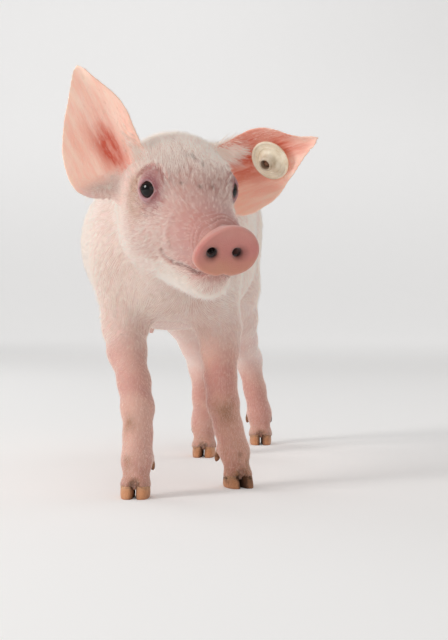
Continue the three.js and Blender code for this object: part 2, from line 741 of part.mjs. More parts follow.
for (const name of Object.keys(legs)) {
  const legGrown = legSolid(name, gap);
  const outward = name.endsWith('left') ? 1 : -1;
  for (const [place, side] of [['inner', -outward], ['outer', outward]]) {
    const spur = dewclawSolid(name, side);
    add(`hoof_${name}_${place}`, clawSolid(name, side), 'horn');
    add(`dewclaw_${name}_${place}`, largest(spur.subtract(legGrown)), 'horn');
  }
  add(`leg_${name}`, legSolid(name, 0), 'skin');
}
add('tail', tailSolid(), 'skin');

// The reference point is on the floor, in the middle of the space that the piglet takes up.
const space = new THREE.Box3().setFromObject(piglet, true);
const middle = space.getCenter(new THREE.Vector3());
piglet.position.set(-middle.x, -middle.y, -space.min.z);

const model = new THREE.Group();
model.add(piglet);
export default model;
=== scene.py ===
import json
import math

import bmesh
import bpy
import numpy as np
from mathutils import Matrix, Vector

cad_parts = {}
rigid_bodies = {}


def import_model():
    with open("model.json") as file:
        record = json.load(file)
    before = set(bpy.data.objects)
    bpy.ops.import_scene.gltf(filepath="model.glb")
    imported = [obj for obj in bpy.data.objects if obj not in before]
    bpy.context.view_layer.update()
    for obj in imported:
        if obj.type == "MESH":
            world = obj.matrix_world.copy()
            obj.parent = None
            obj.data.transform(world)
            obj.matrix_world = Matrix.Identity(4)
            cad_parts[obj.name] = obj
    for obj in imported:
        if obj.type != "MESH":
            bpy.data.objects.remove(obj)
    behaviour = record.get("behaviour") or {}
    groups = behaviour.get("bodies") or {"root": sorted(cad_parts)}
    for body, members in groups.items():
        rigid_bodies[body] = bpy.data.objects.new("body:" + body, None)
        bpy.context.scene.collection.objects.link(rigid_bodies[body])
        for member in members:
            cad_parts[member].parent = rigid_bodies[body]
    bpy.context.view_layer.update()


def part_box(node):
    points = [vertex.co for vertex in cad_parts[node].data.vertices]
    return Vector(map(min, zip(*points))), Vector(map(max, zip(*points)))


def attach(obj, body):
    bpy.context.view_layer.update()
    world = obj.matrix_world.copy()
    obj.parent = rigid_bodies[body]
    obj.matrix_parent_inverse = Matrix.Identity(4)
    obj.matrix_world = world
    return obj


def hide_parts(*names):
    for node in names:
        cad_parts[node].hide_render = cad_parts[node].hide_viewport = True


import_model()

import openvdb
from mathutils import Vector

np.seterr(all="ignore")

# The solids' own masses, in millimetres: the piglet faces -Y and its left is +X.
trunkShape = {
    "eggs": [
        ([-13, 100, 185], [69, 112, 69]),   # ribs
        ([-11, 146, 170], [61, 100, 54]),   # belly
        ([-3, 190, 206], [52, 90, 52]),     # loin
        ([3, 254, 204], [45, 62, 52]),      # rump
        ([-2, 28, 210], [44, 62, 46]),      # withers
        ([-2, -2, 158], [38, 36, 31]),      # brisket
        ([26, 20, 176], [27, 44, 56]),      # shoulders
        ([-36, 20, 176], [27, 44, 56]),
        ([22, 262, 172], [22, 50, 54]),     # hams
        ([-18, 262, 172], [22, 50, 54]),
    ],
    "necks": [
        ([0, 30, 206], 54, [5, -36, 222], 37),
        ([0, 18, 178], 44, [5, -34, 192], 31),
    ],
    "blend": 18,
}
headShape = {
    "eyes": [25.6, -83, 222],
    "turn": 24,
    "dip": 12.5,
    "eggs": [
        ([-38, 0, 1], [41, 36, 32]),        # skull
        ([-7, 0, 3], [31, 25, 21]),         # forehead
        ([-32, 0, -40], [36, 29, 27]),      # jowl
        ([-26, 19, -25], [31, 20, 31]),     # cheeks
        ([-26, -19, -25], [31, 20, 31]),
        ([-4, 21, 9], [15, 9, 7]),          # brows
        ([-4, -21, 9], [15, 9, 7]),
    ],
    "muzzle": ([8, 0, -20], 29, [64, 0, -23], 19.5),
    "jaw": ([-8, 0, -46], 22, [52, 0, -49], 14),
    "blend": 14,
    "nosePad": {
        "at": [82, 0, -25], "halfWidth": 23, "halfHeight": 18, "halfDepth": 4.5,
        "tilt": 4, "shear": 0.2, "hollow": 2.2, "rounding": 3,
    },
}
earShape = {
    "length": 85.5,
    "rootAt": -19,
    "tipRound": 6.5,
    "edges": {
        # along the ear, then how far its inner and outer edges stand off
        -1: [[-19, 12, 14], [-10, 16, 31], [-3, 17.5, 37.5], [6, 18.3, 40], [17, 18.6, 39.2],
             [30, 18.8, 36.2], [42, 19, 30.6], [53, 17.2, 24.6], [64, 12.4, 17.2], [74, 7.4, 11],
             [80, 5, 7.6], [85.5, 3.6, 5]],
        1: [[-19, 12, 14], [-10, 17, 28], [-3, 18, 33.5], [5, 18.8, 36.2], [13, 19.4, 37.2],
            [22, 20, 35.8], [31, 21.2, 34], [40, 21.8, 30.4], [50, 19.8, 24], [58, 15.4, 19.6],
            [66, 8.9, 14.4], [72, 5, 11], [78, 2.9, 8.2], [85.5, 0.8, 5.6]],
    },
    "cup": 15,
    "tipCurl": 6,
    "thickness": 2.6,
    "rootThickness": 5,
    "poses": {
        -1: ([-45, -37, 9], [0.02, -0.46, 0.89], [-0.3, -0.86, -0.42]),
        1: ([-45, 36, 7], [0.58, 0.66, 0.46], [0.22, 0.58, -0.78]),
    },
}
legShape = {
    "front_right": {
        "joints": [[-30, 12, 158], [-35, 4, 122], [-31, -14, 104], [-23, -32, 82], [-19, -42, 64],
                   [-18, -48, 45], [-18, -54, 27]],
        "foot": [-18, -61],
        "heading": 2,
    },
    "front_left": {
        "joints": [[26, 20, 158], [35, 20, 122], [36, 18, 104], [37, 14, 82], [39, 11, 64],
                   [43, 13, 45], [48, 12, 27]],
        "foot": [51, 7],
        "heading": 24,
    },
    "hind_right": {
        "joints": [[-14, 262, 186], [-20, 234, 150], [-16, 234, 122], [-8, 250, 96], [-3, 256, 76],
                   [0, 240, 50], [2, 222, 27]],
        "foot": [3, 212],
        "heading": 0,
    },
    "hind_left": {
        "joints": [[18, 266, 186], [22, 258, 146], [24, 280, 118], [28, 306, 96], [32, 328, 78],
                   [38, 328, 50], [42.5, 327, 27]],
        "foot": [44, 319],
        "heading": 8,
    },
}
footShape = {
    "radii": {
        "front": [19, 17, 14.6, 12.2, 12, 10.2, 11.4],
        "hind": [21, 24, 20, 14, 12.4, 9.6, 10.8],
    },
    "blend": 7,
    "hockPoint": ([0, 3, -2], 7.5, [0, 9, 12], 4),
    "clefts": [([0, -9, 4], 3.1, [0, -10, 23], 0.5), ([0, 10.5, 4], 2.8, [0, 11, 16], 0.6)],
    "web": ([0, -5, 6.5], 1.7, [0, 7, 6.5], 1.9),
    "toeRoot": 2.4,
    "toeSpread": 4.5,
    "toeTip": 9,
    "toeRadius": {"front": 5.3, "hind": 4.9},
    "toeFrontSpread": 4.3,
    "toeFrontReach": 4,
    "toeFrontShare": 0.88,
    "clawWidth": {"front": 10.6, "hind": 9.6},
    "clawCleft": 0.7,
    "clawTipShare": 0.36,
    "clawToe": 15,
    "clawHeel": 11,
    "clawToeDraw": 5.5,
    "clawHeelDraw": 1.5,
    "coronet": 7.6,
    "slope": 0.16,
    "soleGap": 0.9,
    "spurRise": 30,
    "spurSpread": 10.8,
    "spurBehind": 12.5,
    "spurLength": 12,
    "spurRadius": 2.6,
    "spurSplay": 10,
    "spurLean": 18,
    "spurRoots": [(0.3, 3, 4.5), (0.78, -3, 3.4)],     # share of the way out, rise, radius
}
tailShape = {"root": [0, 306, 226], "radius": 8.5, "tipRadius": 2.2, "curl": 17}
eyeShape = {"at": [-6, 27, 0], "radius": 9, "outward": 50}
tagShape = {
    "along": 44.5, "across": 5, "facing": [0.62, -0.7, -0.35], "lean": 0.8, "front": 5.2, "back": -6.4,
    "discRadius": 15, "bossRadius": 5.6, "bossHeight": 9, "boreRadius": 3.4, "pinRadius": 2.6,
    "backRadius": 14,
}


def unit(v):
    v = np.asarray(v, float)
    return v / np.linalg.norm(v)


def headAxes():
    turn, dip = math.radians(headShape["turn"]), math.radians(headShape["dip"])
    forward = np.array([math.sin(turn) * math.cos(dip), -math.cos(turn) * math.cos(dip), -math.sin(dip)])
    left = np.array([math.cos(turn), math.sin(turn), 0.0])
    return np.array([forward, left, np.cross(forward, left)])


headTurn = headAxes()
eyesAt = np.array(headShape["eyes"], float)


def intoHead(p):
    return (p - eyesAt) @ headTurn.T


def outOfHead(p):
    return np.asarray(p, float) @ headTurn + eyesAt


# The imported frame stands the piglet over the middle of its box; its eyes say how far that moved it.
low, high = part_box("eye_left")
otherLow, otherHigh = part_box("eye_right")
packedEyes = np.array((low + high + otherLow + otherHigh) / 4) * 1000
shift = packedEyes - outOfHead([eyeShape["at"][0], 0, eyeShape["at"][2]])


def toRow(p):
    return ((np.asarray(p, float) + shift) / 1000).astype(np.float32)


# rounded forms and how they melt together

def smoothMin(a, b, blend):
    overlap = np.maximum(blend - np.abs(a - b), 0) / blend
    return np.minimum(a, b) - overlap * overlap * (blend * 0.25)


def smoothMax(a, b, blend):
    return -smoothMin(-a, -b, blend)


def egg(p, at, radii):
    q = (p - np.array(at, np.float32)) / np.array(radii, np.float32)
    share = np.sqrt((q * q).sum(1))
    slope = np.sqrt(((q / np.array(radii, np.float32)) ** 2).sum(1))
    return share * (share - 1) / np.maximum(slope, 1e-6)


def taper(p, start, startRadius, end, endRadius):
    start, end = np.array(start, np.float32), np.array(end, np.float32)
    length = float(np.linalg.norm(end - start))
    axis = (end - start) / length
    lean = (startRadius - endRadius) / length
    upright = math.sqrt(max(1 - lean * lean, 1e-6))
    rel = p - start
    along = rel @ axis
    square = np.maximum((rel * rel).sum(1) - along * along, 0)
    off = np.sqrt(square)
    side = along * upright - off * lean
    body = off * upright + along * lean - startRadius
    body = np.where(side < 0, np.sqrt(square + along * along) - startRadius, body)
    return np.where(side > length * upright, np.sqrt(square + (along - length) ** 2) - endRadius, body)


def chain(p, points, radii, blend=0.01):
    out = np.full(len(p), 1e3, np.float32)
    for i in range(len(points) - 1):
        out = smoothMin(out, taper(p, points[i], radii[i], points[i + 1], radii[i + 1]), blend)
    return out


# eggs and tapers melted into one form
def melted(p, eggs, tapers, blend):
    out = np.full(len(p), 1e3, np.float32)
    for at, radii in eggs:
        out = smoothMin(out, egg(p, at, radii), blend)
    for form in tapers:
        out = smoothMin(out, taper(p, *form), blend)
    return out


def near(p, points, room):
    points = np.asarray(points, float).reshape(-1, 3)
    return np.all((p > points.min(0) - room) & (p < points.max(0) + room), axis=1)


def nosePlate(h):
    pad = headShape["nosePad"]
    up = h[:, 2] - pad["at"][2]
    depth = np.abs(h[:, 0] - pad["at"][0] - math.tan(math.radians(pad["tilt"])) * up) - pad["halfDepth"]
    across = h[:, 1] - pad["shear"] * np.maximum(up + 7, 0)
    narrow = 1 + 0.14 * np.minimum(up / pad["halfHeight"], 1)
    share = np.hypot(across * narrow / pad["halfWidth"], up / pad["halfHeight"])
    share = share + 0.1 * np.exp(-(across / 3.2) ** 2) * np.clip(-up / pad["halfHeight"], 0, 1)
    hollow = np.clip(1 - share, 0, 1) * pad["hollow"] * (h[:, 0] > pad["at"][0])
    depth = depth + hollow * np.clip(1.4 - share, 0, 1)
    rim = (share - 1) * pad["halfHeight"]
    rounding = pad["rounding"]
    outside = np.hypot(np.maximum(depth + rounding, 0), np.maximum(rim + rounding, 0))
    return outside + np.minimum(np.maximum(depth, rim) + rounding, 0) - rounding


def girdleOf(name):
    return "front" if name.startswith("front") else "hind"


def footPoint(name, p):
    leg = legShape[name]
    c, s = math.cos(math.radians(leg["heading"])), math.sin(math.radians(leg["heading"]))
    p = np.asarray(p, float)
    return np.stack([leg["foot"][0] + c * p[..., 0] - s * p[..., 1],
                     leg["foot"][1] + s * p[..., 0] + c * p[..., 1], p[..., 2]], -1)


def anklePoint(name, p):
    ankle, foot = legShape[name]["joints"][-1], legShape[name]["foot"]
    return footPoint(name, p) + np.array([ankle[0] - foot[0], ankle[1] - foot[1], 0])


def footTaper(p, name, form):
    start, startRadius, end, endRadius = form
    return taper(p, footPoint(name, start), startRadius, footPoint(name, end), endRadius)


def legField(p, name):
    leg, girdle, shape = legShape[name], girdleOf(name), footShape
    joints, toe = leg["joints"], shape["toeRadius"][girdle]
    out = chain(p, joints, shape["radii"][girdle], shape["blend"])
    ankle = joints[-1]
    for side in (-1, 1):
        tip = footPoint(name, [side * shape["toeSpread"], 1, shape["toeTip"]])
        front = footPoint(name, [side * shape["toeFrontSpread"], -shape["toeFrontReach"], shape["toeTip"]])
        spur = []
        for share, rise, radius in shape["spurRoots"]:
            sideways, behind = side * shape["spurSpread"] * share, shape["spurBehind"] * share
            spur += [anklePoint(name, [sideways, behind, shape["spurRise"] + rise]), radius]
        for form in (
            ([ankle[0], ankle[1], ankle[2] - 2], toe + shape["toeRoot"], tip, toe),
            (tip, toe, front, toe * shape["toeFrontShare"]),
            spur,
        ):
            out = smoothMin(out, taper(p, *form), shape["blend"])
    if girdle == "hind":
        hock = np.array(joints[4], float)
        start, startRadius, end, endRadius = shape["hockPoint"]
        out = smoothMin(out, taper(p, hock + start, startRadius, hock + end, endRadius), 6)
    # the cleft runs up between the toes, front and back, and the foot ends at the coronet
    out = smoothMax(out, -np.minimum(*[footTaper(p, name, form) for form in shape["clefts"]]), 2.2)
    turn = math.radians(leg["heading"])
    local = (p[:, 0] - leg["foot"][0]) * -math.sin(turn) + (p[:, 1] - leg["foot"][1]) * math.cos(turn)
    sole = (shape["coronet"] - shape["soleGap"] - shape["slope"] * (local - 2)) - p[:, 2]
    out = smoothMax(out, sole, 1.2)
    return smoothMin(out, footTaper(p, name, shape["web"]), 1.5)


def tailLine():
    points = [[0, -14, -6], [0, 2, 0], [1, 13, -5], [3, 19, -17]]
    turns = 9
    for k in range(1, turns + 1):
        turn = k / turns * 1.35 * 2 * math.pi
        radius = tailShape["curl"] * (0.62 - 0.22 * k / turns)
        points.append([3 + k / turns * 15, 19 - radius + radius * math.cos(turn) + k * 0.5,
                       -17 - radius * math.sin(turn)])
    return smoothLine(np.array(points) + tailShape["root"], 44)


# a centripetal spline through the points
def smoothLine(points, count):
    points = np.asarray(points, float)
    padded = np.vstack([2 * points[0] - points[1], points, 2 * points[-1] - points[-2]])
    fine = []
    for i in range(1, len(padded) - 2):
        p0, p1, p2, p3 = padded[i - 1:i + 3]
        t0 = 0
        t1 = t0 + np.linalg.norm(p1 - p0) ** 0.5
        t2 = t1 + np.linalg.norm(p2 - p1) ** 0.5
        t3 = t2 + np.linalg.norm(p3 - p2) ** 0.5
        for t in np.linspace(t1, t2, 16, endpoint=False):
            a1 = (t1 - t) / (t1 - t0) * p0 + (t - t0) / (t1 - t0) * p1
            a2 = (t2 - t) / (t2 - t1) * p1 + (t - t1) / (t2 - t1) * p2
            a3 = (t3 - t) / (t3 - t2) * p2 + (t - t2) / (t3 - t2) * p3
            b1 = (t2 - t) / (t2 - t0) * a1 + (t - t0) / (t2 - t0) * a2
            b2 = (t3 - t) / (t3 - t1) * a2 + (t - t1) / (t3 - t1) * a3
            fine.append((t2 - t) / (t2 - t1) * b1 + (t - t1) / (t2 - t1) * b2)
    fine.append(points[-1])
    fine = np.array(fine)
    run = np.concatenate([[0], np.cumsum(np.linalg.norm(np.diff(fine, axis=0), axis=1))])
    spots = np.linspace(0, run[-1], count)
    return np.stack([np.interp(spots, run, fine[:, k]) for k in range(3)], 1)


tailPoints = tailLine()


def tailField(p):
    share = np.linspace(0, 1, len(tailPoints))
    radii = tailShape["radius"] + (tailShape["tipRadius"] - tailShape["radius"]) * share ** 0.7
    out = np.full(len(p), 1e3, np.float32)
    for i in range(len(tailPoints) - 1):
        out = np.minimum(out, taper(p, tailPoints[i], radii[i], tailPoints[i + 1], radii[i + 1]))
    return out


# ears

def earAxes(side):
    root, along, across = (np.array(v, float) for v in earShape["poses"][side])
    along = unit(along)
    across = unit(across - along * (across @ along))
    out = np.cross(along, across)
    return root, along, across, out if out[0] > 0 else -out


def earLine(side):
    # places along the ear, how far either edge stands off there,
    # and how a step off the edge shrinks with its slope
    line = smoothLine(earShape["edges"][side], 160)
    along = np.linspace(earShape["rootAt"], earShape["length"], 600)
    inner, outer = np.interp(along, line[:, 0], line[:, 1]), np.interp(along, line[:, 0], line[:, 2])
    beyond = np.maximum(along - earShape["length"] + earShape["tipRound"], 0) / earShape["tipRound"]
    half, middle = (inner + outer) / 2 * np.sqrt(np.maximum(1 - beyond ** 2, 0)), (outer - inner) / 2
    inner, outer = half - middle, half + middle
    shrink = [1 / np.sqrt(1 + np.clip(np.gradient(edge, along), -4, 4) ** 2) for edge in (inner, outer)]
    return along, inner, outer, *shrink


earLines = {side: earLine(side) for side in (-1, 1)}


def earEdges(side, along):
    line = earLines[side]
    return [np.interp(along, line[0], line[k]) for k in (1, 2)]


def earDepth(u, v):
    return earShape["cup"] * (0.6 - 4 * v * (1 - v) * (1 - 0.75 * u)) + earShape["tipCurl"] * u * u


def earPlace(h, side):
    root, along, across, out = earAxes(side)
    rel = h - root
    t, w, d = rel @ along, rel @ across, rel @ out
    inner, outer = earEdges(side, t)
    v = np.clip((w + inner) / np.maximum(inner + outer, 1e-3), 0, 1)
    u = np.clip((t - earShape["rootAt"]) / (earShape["length"] - earShape["rootAt"]), 0, 1)
    return t, w, d - earDepth(u, v), u, v, inner, outer


def earField(h, side):
    t, w, rise, u, v, inner, outer = earPlace(h, side)
    span = np.maximum(inner + outer, 4)
    slope = earShape["cup"] * (1 - 0.75 * u) * 4 * (1 - 2 * v) / span
    thick = earShape["thickness"] + (earShape["rootThickness"] - earShape["thickness"]) * (1 - u) ** 3
    folds = 0.7 * np.exp(-((v - 0.36) / 0.05) ** 2) + 0.55 * np.exp(-((v - 0.6) / 0.06) ** 2)
    folds = folds * np.clip(1 - u * 1.3, 0, 1) * np.clip(u * 8, 0, 1)
    half = np.maximum(thick / 2, 1.35) * (0.84 + 0.16 * np.sqrt(4 * v * (1 - v)))
    face = (np.abs(rise) - half - np.where(rise > 0, folds * 1.6, 0)) / np.sqrt(1 + slope * slope)
    line = earLines[side]
    innerShrink, outerShrink = np.interp(t, line[0], line[3]), np.interp(t, line[0], line[4])
    edge = np.maximum((-inner - w) * innerShrink, (w - outer) * outerShrink)
    edge = np.maximum(np.maximum(edge, t - earShape["length"]), earShape["rootAt"] - t) - 0.45
    return smoothMax(face, edge, 1.3)


# the head's finer forms

def eyeAxes(side):
    angle = math.radians(eyeShape["outward"])
    at = np.array(eyeShape["at"], float) * [1, side, 1]
    outward = unit([math.cos(angle), side * math.sin(angle), 0.06])
    backward = unit([-math.sin(angle), side * math.cos(angle), 0])
    return at, outward, backward, np.cross(outward, backward) * side


faceShape = {
    "lidThickness": 1.5,
    "openingWidth": 0.66,
    "openingHeight": 0.62,
    "mouth": [[76, 5, -45], [62, 12, -45], [52.6, 15.7, -43.7], [40, 17.6, -44.4], [27, 19.5, -45.3],
              [18.7, 21.5, -43.7], [14.5, 23.5, -40]],
    "nostrils": {
        -1: ([93.5, -11.8, -27.8], 3.7, [76, -7.8, -24.6], 2.5),
        1: ([93.5, 13.2, -26.8], 3.5, [81, 7.6, -25.6], 2.3),
    },
    "browFold": [[-19, 35.5, 4], [-13.3, 33, 11.2], [-6.6, 30, 15.4], [-2.3, 27, 17.4], [3.9, 25, 16.6],
                 [10.1, 24.2, 13.2], [14, 23.6, 8.5]],
    "lidFolds": [
        [[-13, 35.5, -10.5], [-5, 33.5, -13.5], [5, 30.5, -13], [12, 27.5, -9]],
        [[-9, 34, -17], [0, 31.5, -18], [9, 28.5, -15.5]],
    ],
    "corner": [[8, 29.5, -1], [12.7, 26.9, -2.6], [15.5, 25.6, -4.4]],
    "cheekFold": [[34, 24.5, -13], [30, 25, -22], [28.5, 24.6, -31], [22, 25, -36]],
    "flecks": [[-2.5, -4.1, 25.4], [1.9, -0.2, 24.1], [9.7, 4.2, 20.5], [20.2, -14.4, 9.5],
               [26.7, -2.5, 8.7], [26, 7.3, 8]],
    "lip": 0.7,
    "cheekProud": 1.3,
    "wrinkles": {"at": 69, "reach": 8.5, "apart": 5.4, "depth": 1.0},
    "room": 9,
}


def crease(h, line, mirror, width):
    line = smoothLine(np.array(line, float) * mirror, 16)
    out = np.zeros(len(h), np.float32)
    pick = near(h, line, width * 3)
    if pick.any():
        out[pick] = np.exp(-(np.maximum(chain(h[pick], line, [0.1] * len(line)), 0) / width) ** 2)
    return out


def eyeDetail(h, out, side, mirror):
    at, outward, backward, up = eyeAxes(side)
    rel = h - at
    dist = np.linalg.norm(rel, axis=1)
    q = rel / dist[:, None]
    x, y = q @ backward, q @ up
    half = 1 - np.minimum(np.abs(x + 0.03) / faceShape["openingWidth"], 1.7) ** 2.2
    opening = (np.abs(y - 0.02) - faceShape["openingHeight"] * half) * dist * 0.8
    opening = np.where(q @ outward > 0, opening, 8)
    out = smoothMin(out, dist - eyeShape["radius"] - faceShape["lidThickness"], 5)
    out = out - 0.35 * (np.exp(-((opening - 1.1) / 0.9) ** 2) * (q @ outward > 0))
    out = out + 2.3 * crease(h, faceShape["browFold"], mirror, 1.5)
    out = out - 1.7 * crease(h - [0, 0, 3.6], faceShape["browFold"], mirror, 3.0)
    for fold in faceShape["lidFolds"]:
        out = out + 0.9 * crease(h, fold, mirror, 1.0)
    out = out + 0.8 * crease(h, faceShape["corner"], mirror, 0.8)
    return smoothMax(out, -np.maximum(opening, eyeShape["radius"] - 1.2 - dist), 0.9)


# lids, creases, nostrils and mouth worked into the head's field, in the head's own frame
def faceDetail(h, out):
    room = faceShape["room"]
    for side in (-1, 1):
        mirror = np.array([1, side, 1])
        pick = np.linalg.norm(h - eyeAxes(side)[0], axis=1) < 34
        if pick.any():
            out[pick] = eyeDetail(h[pick], out[pick], side, mirror)
        line = np.array(faceShape["mouth"], float) * mirror
        pick = near(h, line, room)
        if pick.any():
            groove = chain(h[pick], smoothLine(line, 16), np.linspace(0.9, 1.2, 16))
            lip = np.exp(-((groove - 2.6) / 1.8) ** 2) * faceShape["lip"]
            out[pick] = smoothMax(out[pick] - lip, -groove, 2.2)
        pick = near(h, np.array(faceShape["cheekFold"], float) * mirror, room)
        if pick.any():
            fold = crease(h[pick], faceShape["cheekFold"], mirror, 3.2)
            out[pick] = out[pick] - faceShape["cheekProud"] * fold
        nostril = faceShape["nostrils"][side]
        pick = near(h, [nostril[0], nostril[2]], room)
        if pick.any():
            hole = taper(h[pick], *nostril)
            rim = np.exp(-((hole - 1.8) / 1.4) ** 2) * 0.2
            out[pick] = smoothMax(out[pick] - rim, -hole, 4.2)
    # rings of wrinkles behind the nose
    pick = near(h, [[40, -32, -50], [80, 32, 8]], 3)
    if pick.any():
        a, b, c = h[pick].T
        wrinkles = faceShape["wrinkles"]
        around = np.arctan2(b, c + 26)
        arch = a + 4.5 * np.cos(around) + 1.3 * np.sin(b * 0.35 + a * 0.1)
        deep = np.exp(-((a - wrinkles["at"]) / wrinkles["reach"]) ** 2)
        deep = deep * np.clip(np.cos(around) * 1.1 + 0.55, 0, 1)
        wave = (0.5 + 0.5 * np.cos(arch * 2 * math.pi / wrinkles["apart"])) ** 3
        out[pick] = out[pick] + wrinkles["depth"] * deep * wave
    return out


def headField(h):
    tapers = (headShape["muzzle"], headShape["jaw"])
    return smoothMin(melted(h, headShape["eggs"], tapers, headShape["blend"]), nosePlate(h), 5)


def trunkField(p):
    return melted(p, trunkShape["eggs"], trunkShape["necks"], trunkShape["blend"])


bellyShape = {
    "teats": 6, "first": 62, "last": 214, "apart": 21, "middle": -10, "radius": 2.0, "length": 2.6,
    "rootRadius": 3.4,
}


def teatRoots():
    spots = []
    for k in range(bellyShape["teats"]):
        y = bellyShape["first"] + (bellyShape["last"] - bellyShape["first"]) * k / (bellyShape["teats"] - 1)
        middle = bellyShape["middle"] + max(y - 150, 0) * 0.1
        for side in (-1, 1):
            spots.append([middle + side * bellyShape["apart"] * (1 - 0.25 * (k == 5)), y])
    spots = np.array(spots)
    low = np.full(len(spots), 60.0)
    for _ in range(40):
        low = low + np.maximum(trunkField(np.column_stack([spots, low]).astype(np.float32)), 0) * 0.8
    return np.column_stack([spots, low])


teats = teatRoots()


# how deep the skin lies under the coat, least on face, ears and feet
coatDepth = {"trunk": 1.1, "head": 0.35, "ear": 0.3, "foot": 0.35, "tail": 0.6}


def meltInto(out, pick, blend, form):
    if pick.any():
        out[pick] = smoothMin(out[pick], form(pick), blend)


def skinField(p):
    p = p.astype(np.float32)
    h = intoHead(p).astype(np.float32)
    out = trunkField(p) + coatDepth["trunk"]
    meltInto(out, near(h, [[-80, -58, -78], [90, 58, 45]], 26), trunkShape["blend"],
             lambda pick: faceDetail(h[pick], headField(h[pick])) + coatDepth["head"])
    for side, (root, along, across) in earShape["poses"].items():
        meltInto(out, near(h, [root, np.array(root) + 84 * unit(along)], 52), 7,
                 lambda pick: earField(h[pick], side) + coatDepth["ear"])
    share = np.clip((p[:, 2] - 30) / 50, 0, 1)
    depth = coatDepth["foot"] + (coatDepth["trunk"] - coatDepth["foot"]) * share
    for name, leg in legShape.items():
        meltInto(out, near(p, leg["joints"] + [[*leg["foot"], 8]], 44), 12,
                 lambda pick: legField(p[pick], name) + depth[pick])
    meltInto(out, near(p, tailPoints, 18), 5, lambda pick: tailField(p[pick]) + coatDepth["tail"])
    for x, y, z in teats:
        tip = [x, y, z - bellyShape["length"]]
        teat = ([x, y, z + 3], bellyShape["rootRadius"], tip, bellyShape["radius"])
        meltInto(out, near(p, [[x, y, z]], 10), 3, lambda pick: taper(p[pick], *teat))
    return out


# the skin as one mesh

skinBuild = {"voxel": 1.0, "triangles": 190000, "cell": 4, "band": 3.0}


def lattice(a, b, c):
    return np.stack(np.meshgrid(a, b, c, indexing="ij"), -1).reshape(-1, 3)


# signed distances on a dense grid, worked out only near the surface
def blockField(size, cell):
    band = skinBuild["band"]
    corner = np.array([-128.0, -174.0, 6.0])
    top = np.array([132.0, 356.0, 328.0])
    per = int(round(cell / size))
    count = np.ceil((top - corner) / cell).astype(int)
    centres = lattice(*[corner[k] + (np.arange(count[k]) + 0.5) * cell for k in range(3)])
    coarse = np.concatenate([skinField(part) for part in np.array_split(centres, 12)]).reshape(count)
    grid = np.where(coarse < 0, -band, band).astype(np.float32)
    for axis in range(3):
        grid = np.repeat(grid, per, axis)
    cells = np.argwhere(np.abs(coarse) < cell * 0.87 + 2.2)
    offsets = lattice(*[(np.arange(per) + 0.5) * size] * 3)
    ticks = lattice(*[np.arange(per)] * 3)
    for part in np.array_split(cells, max(len(cells) // 4000, 1)):
        p = (corner + part[:, None] * cell + offsets[None]).reshape(-1, 3)
        index = (part[:, None] * per + ticks[None]).reshape(-1, 3)
        grid[index[:, 0], index[:, 1], index[:, 2]] = np.clip(skinField(p), -band, band)
    return grid, corner + size / 2, len(cells)


def polygonise(size, cell):
    values, corner, cells = blockField(size, cell)
    grid = openvdb.FloatGrid(skinBuild["band"])
    grid.copyFromArray(np.ascontiguousarray(values))
    points, quads = grid.convertToQuads(isovalue=0.0)
    corners = points[quads]
    across = np.cross(corners[:, 2] - corners[:, 0], corners[:, 3] - corners[:, 1])
    if (corners.mean(1) * across).sum() < 0:
        quads = quads[:, ::-1]
    print("skin grid", values.shape, cells, "cells,", len(points), "points,", len(quads), "quads")
    return points * size + corner, quads


# slides points onto the skin's surface
def onto(p, rounds=2, step=0.15):
    p = p.astype(np.float64)
    corners = np.array([[1, -1, -1], [-1, -1, 1], [-1, 1, -1], [1, 1, 1]], float)
    for _ in range(rounds):
        samples = [skinField(p + corner * step) for corner in corners]
        slope = sum(s[:, None] * corner for s, corner in zip(samples, corners)) / (4 * step)
        size = np.maximum((slope ** 2).sum(1), 0.2)
        move = -slope * (sum(samples) / 4 / size)[:, None]
        length = np.linalg.norm(move, axis=1)
        p = p + move * np.minimum(1, 0.8 / np.maximum(length, 1e-9))[:, None]
    return p


def quadMesh(name, points, quads):
    mesh = bpy.data.meshes.new(name)
    mesh.vertices.add(len(points))
    mesh.vertices.foreach_set("co", np.asarray(points, np.float32).ravel())
    mesh.loops.add(quads.size)
    mesh.loops.foreach_set("vertex_index", np.ascontiguousarray(quads, np.int32).ravel())
    mesh.polygons.add(len(quads))
    mesh.polygons.foreach_set("loop_start", np.arange(0, quads.size, quads.shape[1], dtype=np.int32))
    mesh.update(calc_edges=True)
    mesh.validate()
    return mesh


def placesOf(mesh):
    co = np.empty(len(mesh.vertices) * 3, np.float32)
    mesh.vertices.foreach_get("co", co)
    return co.reshape(-1, 3)


def linked(name, mesh):
    piece = bpy.data.objects.new(name, mesh)
    bpy.context.scene.collection.objects.link(piece)
    return piece


# swaps the piece's mesh for what its modifiers make of it
def evaluated(piece):
    depsgraph = bpy.context.evaluated_depsgraph_get()
    mesh = bpy.data.meshes.new_from_object(
        piece.evaluated_get(depsgraph), preserve_all_data_layers=True, depsgraph=depsgraph)
    piece.modifiers.clear()
    old = piece.data
    piece.data = mesh
    if old.users == 0:
        bpy.data.meshes.remove(old)


def shadeSmooth(mesh):
    mesh.polygons.foreach_set("use_smooth", np.ones(len(mesh.polygons), bool))


# where the skin needs its smallest faces
def fineRegions(h):
    eyes = [np.linalg.norm(h - eyeAxes(side)[0], axis=1) < 17 for side in (-1, 1)]
    snout = (h[:, 0] > 66) & (np.abs(h[:, 1]) < 32) & (h[:, 2] > -60) & (h[:, 2] < 12)
    mouth = [near(h, np.array(faceShape["mouth"], float) * [1, side, 1], 3.5) for side in (-1, 1)]
    return eyes[0] | eyes[1] | snout | mouth[0] | mouth[1]


def onEars(h):
    ears = np.zeros(len(h), bool)
    for side in (-1, 1):
        t, w, rise, u, v, inner, outer = earPlace(h, side)
        ears |= (t > 4) & (np.abs(rise) < 8) & (w > -inner - 4) & (w < outer + 4)
    return ears


